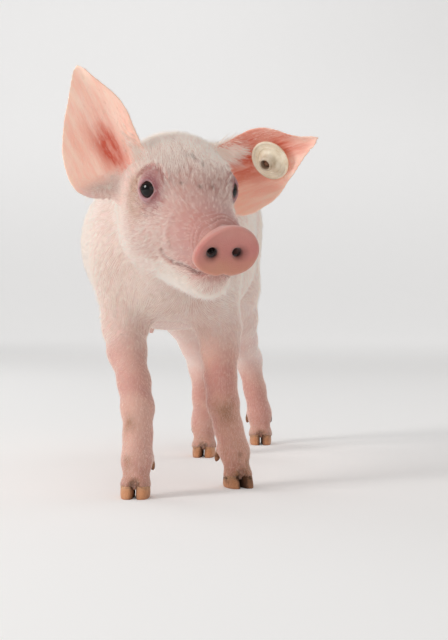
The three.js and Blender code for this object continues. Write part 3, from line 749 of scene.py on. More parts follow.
# 1 keeps faces, 0 gives them up when the mesh is thinned
def keepWeight(p, h):
    head = near(h, [[-52, -56, -76], [95, 56, 46]], 2).astype(float)
    ears = onEars(h)
    feet = np.clip((44 - p[:, 2]) / 20, 0, 1)
    return np.clip(0.75 * head + 0.7 * ears * (1 - head) + 0.55 * feet + 0.25 * fineRegions(h), 0, 1)


def makeSkin():
    points, quads = polygonise(skinBuild["voxel"], skinBuild["cell"])
    mesh = quadMesh("skinFine", points, quads)
    work = bmesh.new()
    work.from_mesh(mesh)
    h = intoHead(points)
    fine = fineRegions(h)
    work.verts.ensure_lookup_table()
    edges = [e for e in work.edges if fine[e.verts[0].index] and fine[e.verts[1].index]]
    bmesh.ops.subdivide_edges(work, edges=edges, cuts=1, use_grid_fill=True)
    bmesh.ops.triangulate(work, faces=work.faces[:])
    work.to_mesh(mesh)
    work.free()
    p = placesOf(mesh).astype(np.float64)
    fresh = fineRegions(intoHead(p)) | onEars(intoHead(p))
    p[fresh] = onto(p[fresh])
    mesh.vertices.foreach_set("co", p.astype(np.float32).ravel())
    mesh.update()
    piece = linked("skin", mesh)
    weights = keepWeight(p, intoHead(p))
    group = piece.vertex_groups.new(name="give")
    for level in np.unique(np.round(weights, 1)):
        group.add(np.flatnonzero(np.round(weights, 1) == level).tolist(), float(1 - level), "REPLACE")
    thin = piece.modifiers.new("thin", "DECIMATE")
    thin.ratio = min(1.0, skinBuild["triangles"] / len(mesh.polygons))
    thin.vertex_group = "give"
    thin.vertex_group_factor = 1.6
    thin.use_collapse_triangulate = True
    before = len(mesh.polygons)
    evaluated(piece)
    piece.vertex_groups.clear()
    print("skin thinned from", before, "to", len(piece.data.polygons), "triangles")
    return piece


skin = makeSkin()
shadeSmooth(skin.data)
skinPoints = placesOf(skin.data).astype(np.float64)   # still in the piglet's own millimetres
skinHead = intoHead(skinPoints)

# the mesh goes to the frame's metres
skin.data.vertices.foreach_set("co", toRow(skinPoints).ravel())
skin.data.update()
print("skin ready")


# markings, kept as numbers on the skin's points

def soft(x, low, high):
    t = np.clip((x - low) / (high - low), 0, 1)
    return t * t * (3 - 2 * t)


def spot(p, at, radius):
    return np.exp(-(np.linalg.norm(p - np.array(at, float), axis=1) / radius) ** 2)


def normalsOf(mesh):
    out = np.empty(len(mesh.vertices) * 3, np.float32)
    mesh.vertices.foreach_get("normal", out)
    return out.reshape(-1, 3).astype(np.float64)


skinNormals = normalsOf(skin.data)

# the painted red glow of light shining through each ear: strength, place and reach along it, place and reach
# across it, slant
earBacklightPatches = {
    -1: [(0.95, 15, 20, 3, 8, 0.14), (0.26, 18, 30, 1, 16, 0)],
    1: [(1.02, 30, 42, -3, 18, 0)],
}


def earMarks(h):
    ear, inside, shown = np.zeros((3, len(h)))
    for side in (-1, 1):
        t, w, rise, u, v, inner, outer = earPlace(h, side)
        on = soft(t, -9, 4) * (np.abs(rise) < 7) * soft(-np.maximum(-inner - w, w - outer), -5, -1)
        on = on * (1 - 0.85 * soft(-t, -18, -6) * soft(-(w + inner), -10, -3))
        front = soft(rise, -0.4, 0.6)
        # painted light: a red glow on the ear's inner face, where light shines through it from behind
        glow = sum(
            strength * np.exp(-((t - at) / reach) ** 2 - ((w - across - slant * (t - at)) / width) ** 2)
            for strength, at, reach, across, width, slant in earBacklightPatches[side])
        ear = np.maximum(ear, on)
        inside = np.maximum(inside, on * front * np.clip(0.04 + glow, 0, 1))
        shown = np.maximum(shown, on * front)
    return ear, inside, shown


# lids, painted shade along the folds round eyes and mouth, and the rims of the lids
def eyeMarks(h):
    lids, folds, rims = np.zeros((3, len(h)))
    small = h.astype(np.float32)
    creases = [("corner", 0.7, 1.2), ("mouth", 0.9, 1.7)]
    for side in (-1, 1):
        mirror = np.array([1, side, 1])
        at, outward, backward, up = eyeAxes(side)
        rel = h - at
        x, y, z = rel @ backward, rel @ up, rel @ outward
        away = ((x + 2.5) / 15) ** 2 + ((y - 1.5) / 15) ** 2
        lids = np.maximum(lids, np.exp(-away ** 1.6) * soft(z, -5, 2))
        folds = np.maximum(folds, crease(small, faceShape["browFold"], mirror, 1.7))
        for line in faceShape["lidFolds"]:
            folds = np.maximum(folds, 0.6 * crease(small, line, mirror, 1.2))
        for name, strength, width in creases:
            folds = np.maximum(folds, strength * crease(small, faceShape[name], mirror, width))
        gap = np.linalg.norm(rel, axis=1) - eyeShape["radius"]
        rims = np.maximum(rims, soft(z, 0, 4) * np.exp(-((gap - 0.9) / 1.2) ** 2))
    return lids, folds, rims


# the insides of nostrils and mouth, painted dark as shade
def darkMarks(h):
    hollowShade = np.zeros(len(h))
    small = h.astype(np.float32)
    for side in (-1, 1):
        hole = taper(small, *faceShape["nostrils"][side])
        funnel = soft(-hole, -1.2, 0.1) * (0.35 + 0.65 * soft(-h[:, 0], -92, -87))
        funnel = funnel + 0.3 * soft(-hole, -4.6, -0.6)
        hollowShade = np.maximum(hollowShade, np.clip(funnel, 0, 1) * soft(h[:, 0], 60, 66))
        line = np.array(faceShape["mouth"], float) * [1, side, 1]
        slit = chain(small, smoothLine(line, 16), [0.8] * 16)
        hollowShade = np.maximum(hollowShade, 0.6 * soft(-slit, -1.6, -0.2) * near(h, line, 4))
    return hollowShade


# where a piglet gets dirty: place and reach on each foreleg, then beside the eyes
soiled = {
    "knees": [([-24, -58, 53], 5, 1), ([-25, -66, 27], 5, 0.6), ([43, -2, 57], 9, 0.7)],
    "tears": [[-15, 34, -15], [-19, 36, 0]],
    "tearReach": 9,
    "fleckReach": 1.5,
}


def dirtMarks(p, h, n, body):
    x, y, z = p.T
    small = p.astype(np.float32)
    # besides the soiled spots, the chest and the trunk's down-facing skin are made a little darker
    chest = soft(-y, -30, 20) * soft(-z, -205, -165) * soft(z, 100, 125) * body
    under = soft(-n[:, 2], 0.1, 0.8) * soft(z, 90, 110) * body
    knees = sum(strength * spot(p, at, reach) for at, reach, strength in soiled["knees"])
    shin = soft(x, 8, 24) * soft(-y, -60, -20) * soft(-z, -46, -16)
    feet, hem = soft(-z, -34, -12), soft(-z, -15, -8)
    cleft = np.zeros(len(p))
    for name in legShape:
        for y0, y1 in ((-12, -9), (12, 9)):
            seam = footTaper(small, name, ([0, y0, 8], 3.2, [0, y1, 26], 1.0))
            cleft = np.maximum(cleft, soft(-seam, -3.6, -0.4))
    tears = sum(spot(h, np.array(at) * [1, side, 1], soiled["tearReach"])
                for at in soiled["tears"] for side in (-1, 1))
    flecks = sum(spot(h, at, soiled["fleckReach"]) for at in faceShape["flecks"])
    dirt = 0.7 * tears + 0.08 * chest + 0.06 * under + knees + 0.35 * shin + 0.3 * feet + 0.8 * cleft
    return np.clip(dirt, 0, 1), np.clip(cleft * 0.95 + 0.3 * knees + 0.3 * hem + flecks, 0, 1)


def markings(p, h, n):
    a, b, c = h.T
    marks = {}
    pad = nosePlate(h.astype(np.float32))
    head = near(h, [[-60, -60, -80], [95, 60, 48]], 2) * soft(a, -62, -38)
    marks["head"] = head
    marks["disc"] = soft(-pad, -1.8, -0.6) * soft(a, 74, 78)
    marks["snout"] = head * soft(a, 8, 62) * (1 - 0.9 * soft(-c, 43, 52))
    marks["ear"], marks["earBacklight"], marks["earFront"] = earMarks(h)
    lids, marks["fold"], marks["rim"] = eyeMarks(h)
    marks["lid"] = lids * (1 - marks["ear"])
    marks["hollowShade"] = darkMarks(h)
    marks["dirt"], marks["grime"] = dirtMarks(p, h, n, 1 - head)
    hind = soft(p[:, 1], 100, 150)
    # the forelegs take the leg tint, the front left one more of it as painted shade
    fore = soft(-p[:, 2], -140, -84) * (0.84 + 0.16 * soft(p[:, 0], 0, 14))
    marks["leg"] = fore * (1 - hind) + 0.84 * soft(-p[:, 2], -82, -54) * hind
    face = head * (0.6 + 0.4 * soft(-np.abs(b), -40, -22)) * (1 - 0.7 * soft(-c, 44, 56))
    marks["face"] = face * (1 - 0.35 * soft(c, 14, 26)) * soft(a, -40, -12)
    return marks


marks = markings(skinPoints, skinHead, skinNormals)


def store(mesh, name, values, kind="FLOAT"):
    layer = mesh.attributes.new(name, kind, "POINT")
    values = np.asarray(values, np.float32)
    if kind == "FLOAT_COLOR":
        values = np.column_stack([values, np.ones(len(values), np.float32)])
    field = {"FLOAT": "value", "FLOAT_VECTOR": "vector", "FLOAT_COLOR": "color"}[kind]
    layer.data.foreach_set(field, values.ravel())


# three markings to each colour attribute, which the materials take apart again
packed = {
    "zone": ["disc", "earBacklight", "lid"],
    "tone": ["snout", "dirt", "hollowShade"],
    "line": ["face", "fold", "rim"],
    "place": ["leg", "ear", "grime"],
}
for name, three in packed.items():
    store(skin.data, name, np.column_stack([marks[key] for key in three]), "FLOAT_COLOR")


# how the coat lies
def layOf(p, h, n):
    x, y, z = p.T
    a, b, c = h.T

    def turned(lay, towards, share):
        share = share[:, None]
        return lay * (1 - share) + towards * share

    lay = np.tile(np.array([0.0, 1.0, -0.25]), (len(p), 1))
    side = soft(-z, -215, -140)[:, None]
    lay = lay * (1 - 0.4 * side) + np.array([0.0, 0.25, -1.0]) * 0.4 * side
    apart = np.column_stack([0.6 * np.tanh(x / 20), 0.15 + 0 * x, -1 + 0 * x])
    lay = turned(lay, apart, soft(-y, -15, 25) * soft(-z, -205, -180))
    lay = turned(lay, np.array([0, 0.12, -1.0]), soft(-z, -140, -90))
    outward = 0.25 * np.sign(b) * soft(np.abs(b), 2, 14)
    face = np.column_stack([-np.ones(len(p)), outward, 0.5 * soft(c, -8, 12) - 0.8 * soft(-c, 2, 26)])
    lay = turned(lay, face @ headTurn, marks["head"])
    for s in (-1, 1):
        root, along, across, out = earAxes(s)
        t, w, rise, u, v, inner, outer = earPlace(h, s)
        fringe = np.exp(-((w + inner - 2) / 6) ** 2) * soft(-t, -34, -18)
        fan = along[None] + across[None] * (np.clip(w / 40, -1, 1) * 0.35 + 1.1 * fringe)[:, None]
        on = soft(t, -2, 12) * (np.abs(rise) < 7) * soft(-np.maximum(-inner - w, w - outer), -5, -1)
        lay = turned(lay, fan @ headTurn, on)
    lay = turned(lay, np.array([0, 0.6, -0.8]), soft(y, 312, 320) * soft(z, 180, 190))
    lay = lay - n * (lay * n).sum(1)[:, None]
    lay = lay / np.maximum(np.linalg.norm(lay, axis=1), 1e-6)[:, None]
    wander = 0.55 * np.sin(x / 11 + 1.3) * np.cos(z / 15) + 0.4 * np.sin(y / 12 + x / 19)
    wander = wander * (1 - 0.6 * marks["leg"]) * (1 - 0.55 * marks["head"]) * (1 - marks["ear"])
    wander = wander[:, None]
    return lay * np.cos(wander) + np.cross(n, lay) * np.sin(wander)


store(skin.data, "lay", layOf(skinPoints, skinHead, skinNormals), "FLOAT_VECTOR")


# coordinates whose last axis runs with the coat, so that fine streaks can follow it
def strandOf(p, h):
    stretch = 0.11
    along = np.column_stack([p[:, 0], p[:, 2], p[:, 1] * stretch])
    leg = soft(-p[:, 2], -125, -100)[:, None]
    along = along * (1 - leg) + np.column_stack([p[:, 0], p[:, 1], p[:, 2] * stretch]) * leg
    head = marks["head"][:, None]
    along = along * (1 - head) + np.column_stack([h[:, 1], h[:, 2], h[:, 0] * stretch]) * head
    for side in (-1, 1):
        t, w, rise, u, v, inner, outer = earPlace(h, side)
        on = ((t > 0) & (np.abs(rise) < 7) & (w > -inner - 4) & (w < outer + 4))[:, None]
        along = np.where(on, np.column_stack([w, rise * 0, t * 0.14]), along)
    return along


store(skin.data, "strand", strandOf(skinPoints, skinHead) / 1000, "FLOAT_VECTOR")


# density, length and lift of the hair, each 1 on the flank
def coatMaps(p, h, n):
    x, y, z = p.T
    a, b, c = h.T
    head, leg = marks["head"], marks["leg"]
    bare = np.clip(marks["disc"] * 2 + marks["hollowShade"] + soft(marks["lid"], 0.25, 0.6), 0, 1)
    muzzle = head * soft(a, 2, 44) * (1 - soft(-c, 36, 50))
    density = 1 + 0.75 * head + 0.85 * head * soft(c, 8, 24) + 0.4 * leg
    density = density * (1 - bare) * (1 - 0.84 * muzzle) * (1 - 0.5 * marks["fold"])
    density = density * (1 - 0.78 * marks["earFront"]) * soft(z, 6.5, 8.5)
    density = density * (1 - soft(-n[:, 2], 0.45, 0.8) * (z < 25))
    density = density * (1 - 0.4 * soft(-n[:, 2], 0.2, 0.9) * soft(z, 90, 110) * (1 - head))
    length = 1 - head * (0.34 - 0.26 * soft(c, 4, 24) * soft(-a, -25, 10) - 0.1 * soft(-c, 25, 45))
    length = length * (1 - 0.6 * marks["ear"]) * (1 - 0.7 * soft(-z, -172, -84) * (1 - head))
    length = length * (1 - 0.2 * soft(-z, -34, -14))
    length = length * (1 - 0.5 * soft(a, 48, 70) * head)
    lift = (1 + 0.3 * head - 0.35 * leg) * (1 - 0.6 * marks["ear"])
    chin = head * soft(-c, 44, 56) * soft(a, -10, 10)
    length, lift, density = length + 0.4 * chin, lift + 1.1 * chin, density * (1 + 0.6 * chin)
    for side, strength in ((-1, 0.45), (1, 1.0)):
        t, w, rise, u, v, inner, outer = earPlace(h, side)
        fringe = soft(t, -10, 0) * soft(-t, -34, -16) * np.exp(-((w + inner - 5) / 7) ** 2)
        fringe = fringe * (np.abs(rise) < 9) * strength
        length, lift, density = length + 1.7 * fringe, lift + 2.0 * fringe, density + 1.0 * fringe
    chest = soft(-y, -20, 30) * soft(-z, -190, -165) * soft(z, 112, 128) * (1 - head)
    return density, length + 0.25 * chest, lift + 0.5 * chest


# which of the coat's pieces each place belongs to, counted as in coat["names"]
def coatPieces(p, h):
    x, y, z = p.T
    piece = np.where(y < 85, 2.0, np.where(y < 200, 4.0, 6.0)) + np.where(x > 0, 0.0, 1.0)
    piece = np.where(z < 122, np.where(y < 120, 8.0, 9.0), piece)
    piece = np.where(marks["head"] > 0.5, np.where(h[:, 1] > 0, 0.0, 1.0), piece)
    return np.where(marks["ear"] > 0.3, 10.0, piece)


coatMade = coatMaps(skinPoints, skinHead, skinNormals)
for name, values in zip(("coatDensity", "coatLength", "coatLift"), coatMade):
    store(skin.data, name, values)
store(skin.data, "coatPiece", coatPieces(skinPoints, skinHead))


def unwrapSkin():
    for other in bpy.context.view_layer.objects:
        other.select_set(False)
    skin.select_set(True)
    bpy.context.view_layer.objects.active = skin
    skin.data.uv_layers.new(name="unwrap")
    bpy.ops.object.mode_set(mode="EDIT")
    bpy.ops.mesh.select_all(action="SELECT")
    bpy.ops.uv.smart_project(angle_limit=math.radians(66), island_margin=0.002)
    bpy.ops.object.mode_set(mode="OBJECT")


unwrapSkin()
print("skin unwrapped")


# shader maths

# one socket of a node tree, with arithmetic
class Wire:
    def __init__(self, tree, socket):
        self.tree, self.socket = tree, socket

    def math(self, operation, *values, clamped=False):
        return self.tree.node("ShaderNodeMath", {"operation": operation, "use_clamp": clamped}, values)

    def __add__(self, other):
        return self.math("ADD", self, other)

    def __sub__(self, other):
        return self.math("SUBTRACT", self, other)

    def __rsub__(self, other):
        return self.math("SUBTRACT", other, self)

    def __mul__(self, other):
        return self.math("MULTIPLY", self, other)

    __radd__, __rmul__ = __add__, __mul__

    def clamp(self):
        return self.math("ADD", self, 0.0, clamped=True)

    def step(self, low, high):
        return self.tree.node("ShaderNodeMapRange", {"interpolation_type": "SMOOTHSTEP"},
                              {"Value": self, "From Min": low, "From Max": high})


# a material's node tree
class Paint:
    def __init__(self, name):
        self.material = bpy.data.materials.new(name)
        self.material.use_nodes = True
        self.nodes, self.links = self.material.node_tree.nodes, self.material.node_tree.links
        self.nodes.clear()
        self.shader = self.nodes.new("ShaderNodeBsdfPrincipled")
        self.links.new(self.shader.outputs[0], self.nodes.new("ShaderNodeOutputMaterial").inputs["Surface"])

    def node(self, kind, settings=None, values=None, output=0):
        made = self.nodes.new(kind)
        for key, value in (settings or {}).items():
            setattr(made, key, value)
        pairs = enumerate(values) if isinstance(values, (list, tuple)) else (values or {}).items()
        for key, value in pairs:
            self.set(made.inputs[key], value)
        return Wire(self, made.outputs[output])

    def set(self, socket, value):
        if isinstance(value, Wire):
            self.links.new(value.socket, socket)
        elif isinstance(value, tuple) and len(value) == 3 and socket.type == "RGBA":
            socket.default_value = (*value, 1)
        else:
            socket.default_value = value

    # the shader's sockets, an underscore for each space in a name
    def shade(self, **values):
        for key, value in values.items():
            self.set(self.shader.inputs[key.replace("_", " ")], value)

    def mix(self, factor, first, second):
        return self.node("ShaderNodeMix", {"data_type": "RGBA"}, {0: factor, 6: first, 7: second}, output=2)

    # a colour, and then others over it, each where its mask says
    def layers(self, colour, look, masks):
        for mask, name in masks:
            colour = self.mix(mask.clamp(), colour, look[name])
        return colour

    def stored(self, name, output=2):
        return self.node("ShaderNodeAttribute", {"attribute_name": name}, output=output)

    def split(self, kind, whole):
        made = self.node(kind, {}, [whole])
        return [Wire(self, made.socket.node.outputs[k]) for k in range(3)]

    def masks(self, name):
        return self.split("ShaderNodeSeparateColor", self.stored(name, 0))

    def parts(self, vector):
        return self.split("ShaderNodeSeparateXYZ", vector)

    def objectSpace(self):
        return self.node("ShaderNodeTexCoord", output=3)

    def noise(self, scale, detail, roughness, vector=None):
        return self.node("ShaderNodeTexNoise", {}, {
            "Vector": vector or self.objectSpace(), "Scale": scale, "Detail": detail, "Roughness": roughness})

    def bump(self, height, distance, strength):
        return self.node("ShaderNodeBump", {}, {"Height": height, "Distance": distance, "Strength": strength})


def srgb(r, g, b):
    return tuple(((v / 255 + 0.055) / 1.055) ** 2.4 if v > 10 else v / 255 / 12.92 for v in (r, g, b))


skinLook = {
    "pale": srgb(238, 220, 212),
    "pink": srgb(224, 186, 176),
    "face": srgb(182, 132, 121),
    "mauve": srgb(196, 134, 126),
    "flush": srgb(178, 116, 108),
    "disc": srgb(216, 144, 136),
    # painted light on the top of the nose disc
    "discTopLight": srgb(232, 176, 162),
    "discFleck": srgb(200, 120, 112),
    "discTan": srgb(218, 156, 128),
    # painted light: the red where light shines through the ear from behind
    "earBacklight": srgb(192, 74, 60),
    "earPale": srgb(255, 233, 218),
    "earVein": srgb(240, 176, 154),
    "earGlow": srgb(255, 150, 104),
    "lid": srgb(128, 66, 72),
    # painted shade along the creases of brow, lids, eye corners and mouth
    "fold": srgb(150, 78, 74),
    "rim": srgb(204, 160, 166),
    "dirt": srgb(152, 104, 66),
    "grime": srgb(78, 48, 26),
    # painted shade inside the nostrils and along the mouth
    "nostril": srgb(30, 10, 9),
    # the legs' own tint, also laid more thickly on the front left leg as painted shade
    "legTintAndShade": srgb(210, 156, 137),
    "glow": 0.12,
    "sheen": 0.45,
}


def paintDisc(paint, mottle, blotch):
    # painted light makes it paler towards the top; below it turns tan
    bottom, middle, top = np.percentile(toRow(skinPoints[marks["disc"] > 0.5])[:, 2], [4, 50, 97])
    rise = paint.parts(paint.objectSpace())[2]
    return paint.layers(skinLook["disc"], skinLook, [
        (mottle * 1.2 - 0.25, "discFleck"),
        (blotch.step(0.4, 0.6) * 0.6, "discTan"),
        ((1 - rise.step(bottom, middle)) * (0.35 + blotch * 0.6), "discTan"),
        (rise.step(middle, top) * 0.45, "discTopLight"),
    ])


def paintSkin():
    paint = Paint("pigletSkin")
    disc, earBacklight, lid = paint.masks("zone")
    snout, dirt, hollowShade = paint.masks("tone")
    leg, ear, grime = paint.masks("place")
    face, fold, rim = paint.masks("line")
    strand = paint.stored("strand", 1)
    blotch = paint.noise(22, 4, 0.55)
    mottle = paint.noise(95, 5, 0.6)
    speck = paint.noise(420, 3, 0.6)
    fibre = paint.noise(1500, 2, 0.5, strand)
    vein = paint.noise(130, 5, 0.6, strand).step(0.38, 0.64)
    creases = paint.noise(260, 6, 0.62)
    pores = paint.node("ShaderNodeTexVoronoi", {"feature": "DISTANCE_TO_EDGE"},
                       {"Vector": paint.objectSpace(), "Scale": 900.0})
    colour = paint.layers(skinLook["pale"], skinLook, [
        (blotch * 1.5 - 0.42, "pink"),
        (mottle.step(0.35, 0.75) * 0.35, "pink"),
        (leg * 0.92, "legTintAndShade"),
        (leg * paint.noise(38, 4, 0.6).step(0.4, 0.64) * 0.65, "mauve"),
        (face * (0.5 + mottle * 0.5), "face"),
        (snout * (0.4 + mottle * 0.5), "flush"),
        (ear * 0.97, "earPale"),
        (ear * vein * 0.4, "earVein"),
        # painted light: red where light shines through the ear
        (earBacklight * (0.68 + vein * 0.7), "earBacklight"),
        (lid * (0.85 + mottle * 0.3), "lid"),
        # painted shade in the creases
        (fold * (0.55 + mottle * 0.3), "fold"),
        (rim * 0.75, "rim"),
    ])
    colour = paint.mix(disc, colour, paintDisc(paint, mottle, blotch))
    colour = paint.layers(colour, skinLook, [
        (dirt * (mottle.step(0.3, 0.62) * 0.9 + 0.1), "dirt"),
        (grime * (speck.step(0.32, 0.6) * 0.85 + 0.15), "grime"),
        # painted shade in nostrils and mouth
        (hollowShade, "nostril"),
        (fibre.step(0.52, 0.72) * (1 - disc) * 0.22, "pale"),
    ])
    relief = creases * 0.5 + fibre * 0.35 * (1 - disc) + pores.step(0.0, 0.25) * disc * 0.8 + mottle * 0.6
    paint.shade(
        Base_Color=colour,
        Roughness=(0.56 - disc * 0.2 + dirt * 0.16 + hollowShade * 0.4).clamp(),
        Normal=paint.bump(relief, 0.0007, 0.55),
        Emission_Color=paint.mix(ear, (0.0, 0.0, 0.0), skinLook["earGlow"]),
        Emission_Strength=skinLook["glow"],
        Subsurface_Weight=0.22,
        Subsurface_Radius=(1.0, 0.32, 0.2),
        Subsurface_Scale=0.004,
        IOR=1.4,
        Sheen_Weight=skinLook["sheen"],
        Sheen_Roughness=0.35,
    )
    return paint.material


coatLook = {
    "tip": srgb(250, 246, 239),
    "root": srgb(242, 224, 212),
    "flush": srgb(236, 186, 168),
    "dirty": srgb(198, 164, 124),
    "soil": srgb(84, 50, 24),
    "roughness": 0.4,
    "glow": 0.17,
    "sheen": 0.45,
}


def paintCoat():
    paint = Paint("bristle")
    snout, dirt, hollowShade = paint.masks("tone")
    leg, ear, grime = paint.masks("place")
    shade, tuft = paint.stored("tuftShade"), paint.stored("tuftRandom")
    colour = paint.layers(coatLook["root"], coatLook, [
        (snout * 0.5 + ear * 0.6 + leg * 0.7, "flush"),
        (shade * (1 - leg * 0.4), "tip"),
        ((dirt * (0.25 + tuft * 0.9)).clamp() * 0.8, "dirty"),
        ((grime * (0.3 + tuft)).clamp() * 0.8, "soil"),
    ])
    paint.shade(
        Base_Color=colour,
        Emission_Color=colour,
        Emission_Strength=coatLook["glow"],
        Roughness=coatLook["roughness"],
        IOR=1.45,
        Sheen_Weight=coatLook["sheen"],
        Sheen_Roughness=0.4,
    )
    return paint.material


skin.data.materials.append(paintSkin())
coatPaint = paintCoat()
fleshNodes = ["trunk", "neck", "head", "snout", "nose_plate", "ear_left", "ear_right", "tail",
              "leg_front_left", "leg_front_right", "leg_hind_left", "leg_hind_right"]
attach(skin, "root")
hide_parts(*fleshNodes)


# bristles

coat = {
    "names": ["coatHeadLeft", "coatHeadRight", "coatShoulderLeft", "coatShoulderRight", "coatFlankLeft",
              "coatFlankRight", "coatRumpLeft", "coatRumpRight", "coatForelegs", "coatHindlegs", "coatEars"],
    "perSquareMetre": 270000,
    "length": 0.0098,
    "lift": 9,
    "hairs": 2,
    "hairRadius": 0.0115,
    "spread": 0.15,
    "cowlick": 0.22,
    "stray": 0.09,
    "thin": 1.0,
}


# a few tapered hairs side by side, a unit long, growing along Z, spread along Y and bowed towards X
def tuftMesh():
    pick = np.random.default_rng(8)
    points, faces, patches, reach = [], [], [], []
    count, sides, wide = coat["hairs"], 3, 0.003  # wide is a tuft's own patch of the unwrapped skin
    strip = wide / (count * sides)
    low, middle, high = -0.36 * wide, 0.1 * wide, 0.5 * wide
    for i in range(count):
        base = ((i + 0.5) / count - 0.5) * 2 * coat["spread"]
        tall, drift, bow = pick.uniform(0.7, 1.0), pick.uniform(-0.08, 0.08), pick.uniform(0.03, 0.06)
        first = len(points)
        for height, radius, rise in ((-0.03, 1.0, -0.01), (0.5 * tall, 0.85, bow)):
            for k in range(sides):
                turn = 2 * math.pi * k / sides
                size = coat["hairRadius"] * radius
                across = base + drift * height + size * math.sin(turn)
                points.append((rise + size * math.cos(turn), across, height))
                reach.append(max(height, 0.0))
        points.append((0.3 * bow, base * 1.1 + drift * 1.3, tall))
        reach.append(tall)
        for k in range(sides):
            a, b = first + k, first + (k + 1) % sides
            faces += [(a, b, b + sides, a + sides), (a + sides, b + sides, first + 2 * sides)]
            left = (i * sides + k) * strip - wide / 2
            right = left + strip * 0.9
            patches += [(left, low, 0), (right, low, 0), (right, middle, 0), (left, middle, 0)]
            patches += [(left, middle, 0), (right, middle, 0), (left + strip * 0.45, high, 0)]
        faces.append((first + 2, first + 1, first))
        left, foot = i * sides * strip - wide / 2, -0.38 * wide
        patches += [(left, foot, 0), (left + strip, -0.5 * wide, 0), (left + strip * 2, foot, 0)]
    mesh = bpy.data.meshes.new("tuft")
    mesh.from_pydata(points, [], faces)
    shadeSmooth(mesh)
    layer = mesh.attributes.new("patch", "FLOAT_VECTOR", "CORNER")
    layer.data.foreach_set("vector", np.array(patches, np.float32).ravel())
    store(mesh, "reach", reach)
    return mesh


# a Geometry Nodes tree with named inputs
class Tree:
    def __init__(self, name, inputs):
        self.group = bpy.data.node_groups.new(name, "GeometryNodeTree")
        face = self.group.interface
        face.new_socket("Geometry", in_out="OUTPUT", socket_type="NodeSocketGeometry")
        face.new_socket("Geometry", in_out="INPUT", socket_type="NodeSocketGeometry")
        self.ids = {}
        for key, kind in inputs.items():
            self.ids[key] = face.new_socket(key, in_out="INPUT", socket_type=kind).identifier
        self.start = self.group.nodes.new("NodeGroupInput")
        self.end = self.group.nodes.new("NodeGroupOutput")

    def add(self, kind, settings=None, values=None):
        made = self.group.nodes.new(kind)
        for key, value in (settings or {}).items():
            setattr(made, key, value)
        for key, value in (values or {}).items():
            socket = made.inputs[key]
            if isinstance(value, bpy.types.NodeSocket):
                self.group.links.new(value, socket)
            else:
                socket.default_value = value
        return made

    def read(self, name, kind):
        return self.add("GeometryNodeInputNamedAttribute", {"data_type": kind}, {"Name": name}).outputs[0]

    def math(self, operation, *values):
        return self.add("ShaderNodeMath", {"operation": operation}, dict(enumerate(values))).outputs[0]
    def vector(self, operation, *values):
        spots = [0, 3] if operation == "SCALE" else [0, 1]
        return self.add("ShaderNodeVectorMath", {"operation": operation}, dict(zip(spots, values))).outputs[0]

    def random(self, kind, low, high, seed):
        lowSpot, highSpot, output = {"FLOAT": (2, 3, 1), "FLOAT_VECTOR": (0, 1, 0)}[kind]
        values = {lowSpot: low, highSpot: high, "Seed": seed}
        return self.add("FunctionNodeRandomValue", {"data_type": kind}, values).outputs[output]

    def keepAs(self, name, geometry, value, kind, domain):
        return self.add("GeometryNodeStoreNamedAttribute", {"data_type": kind, "domain": domain},
                        {"Geometry": geometry, "Name": name, "Value": value}).outputs[0]


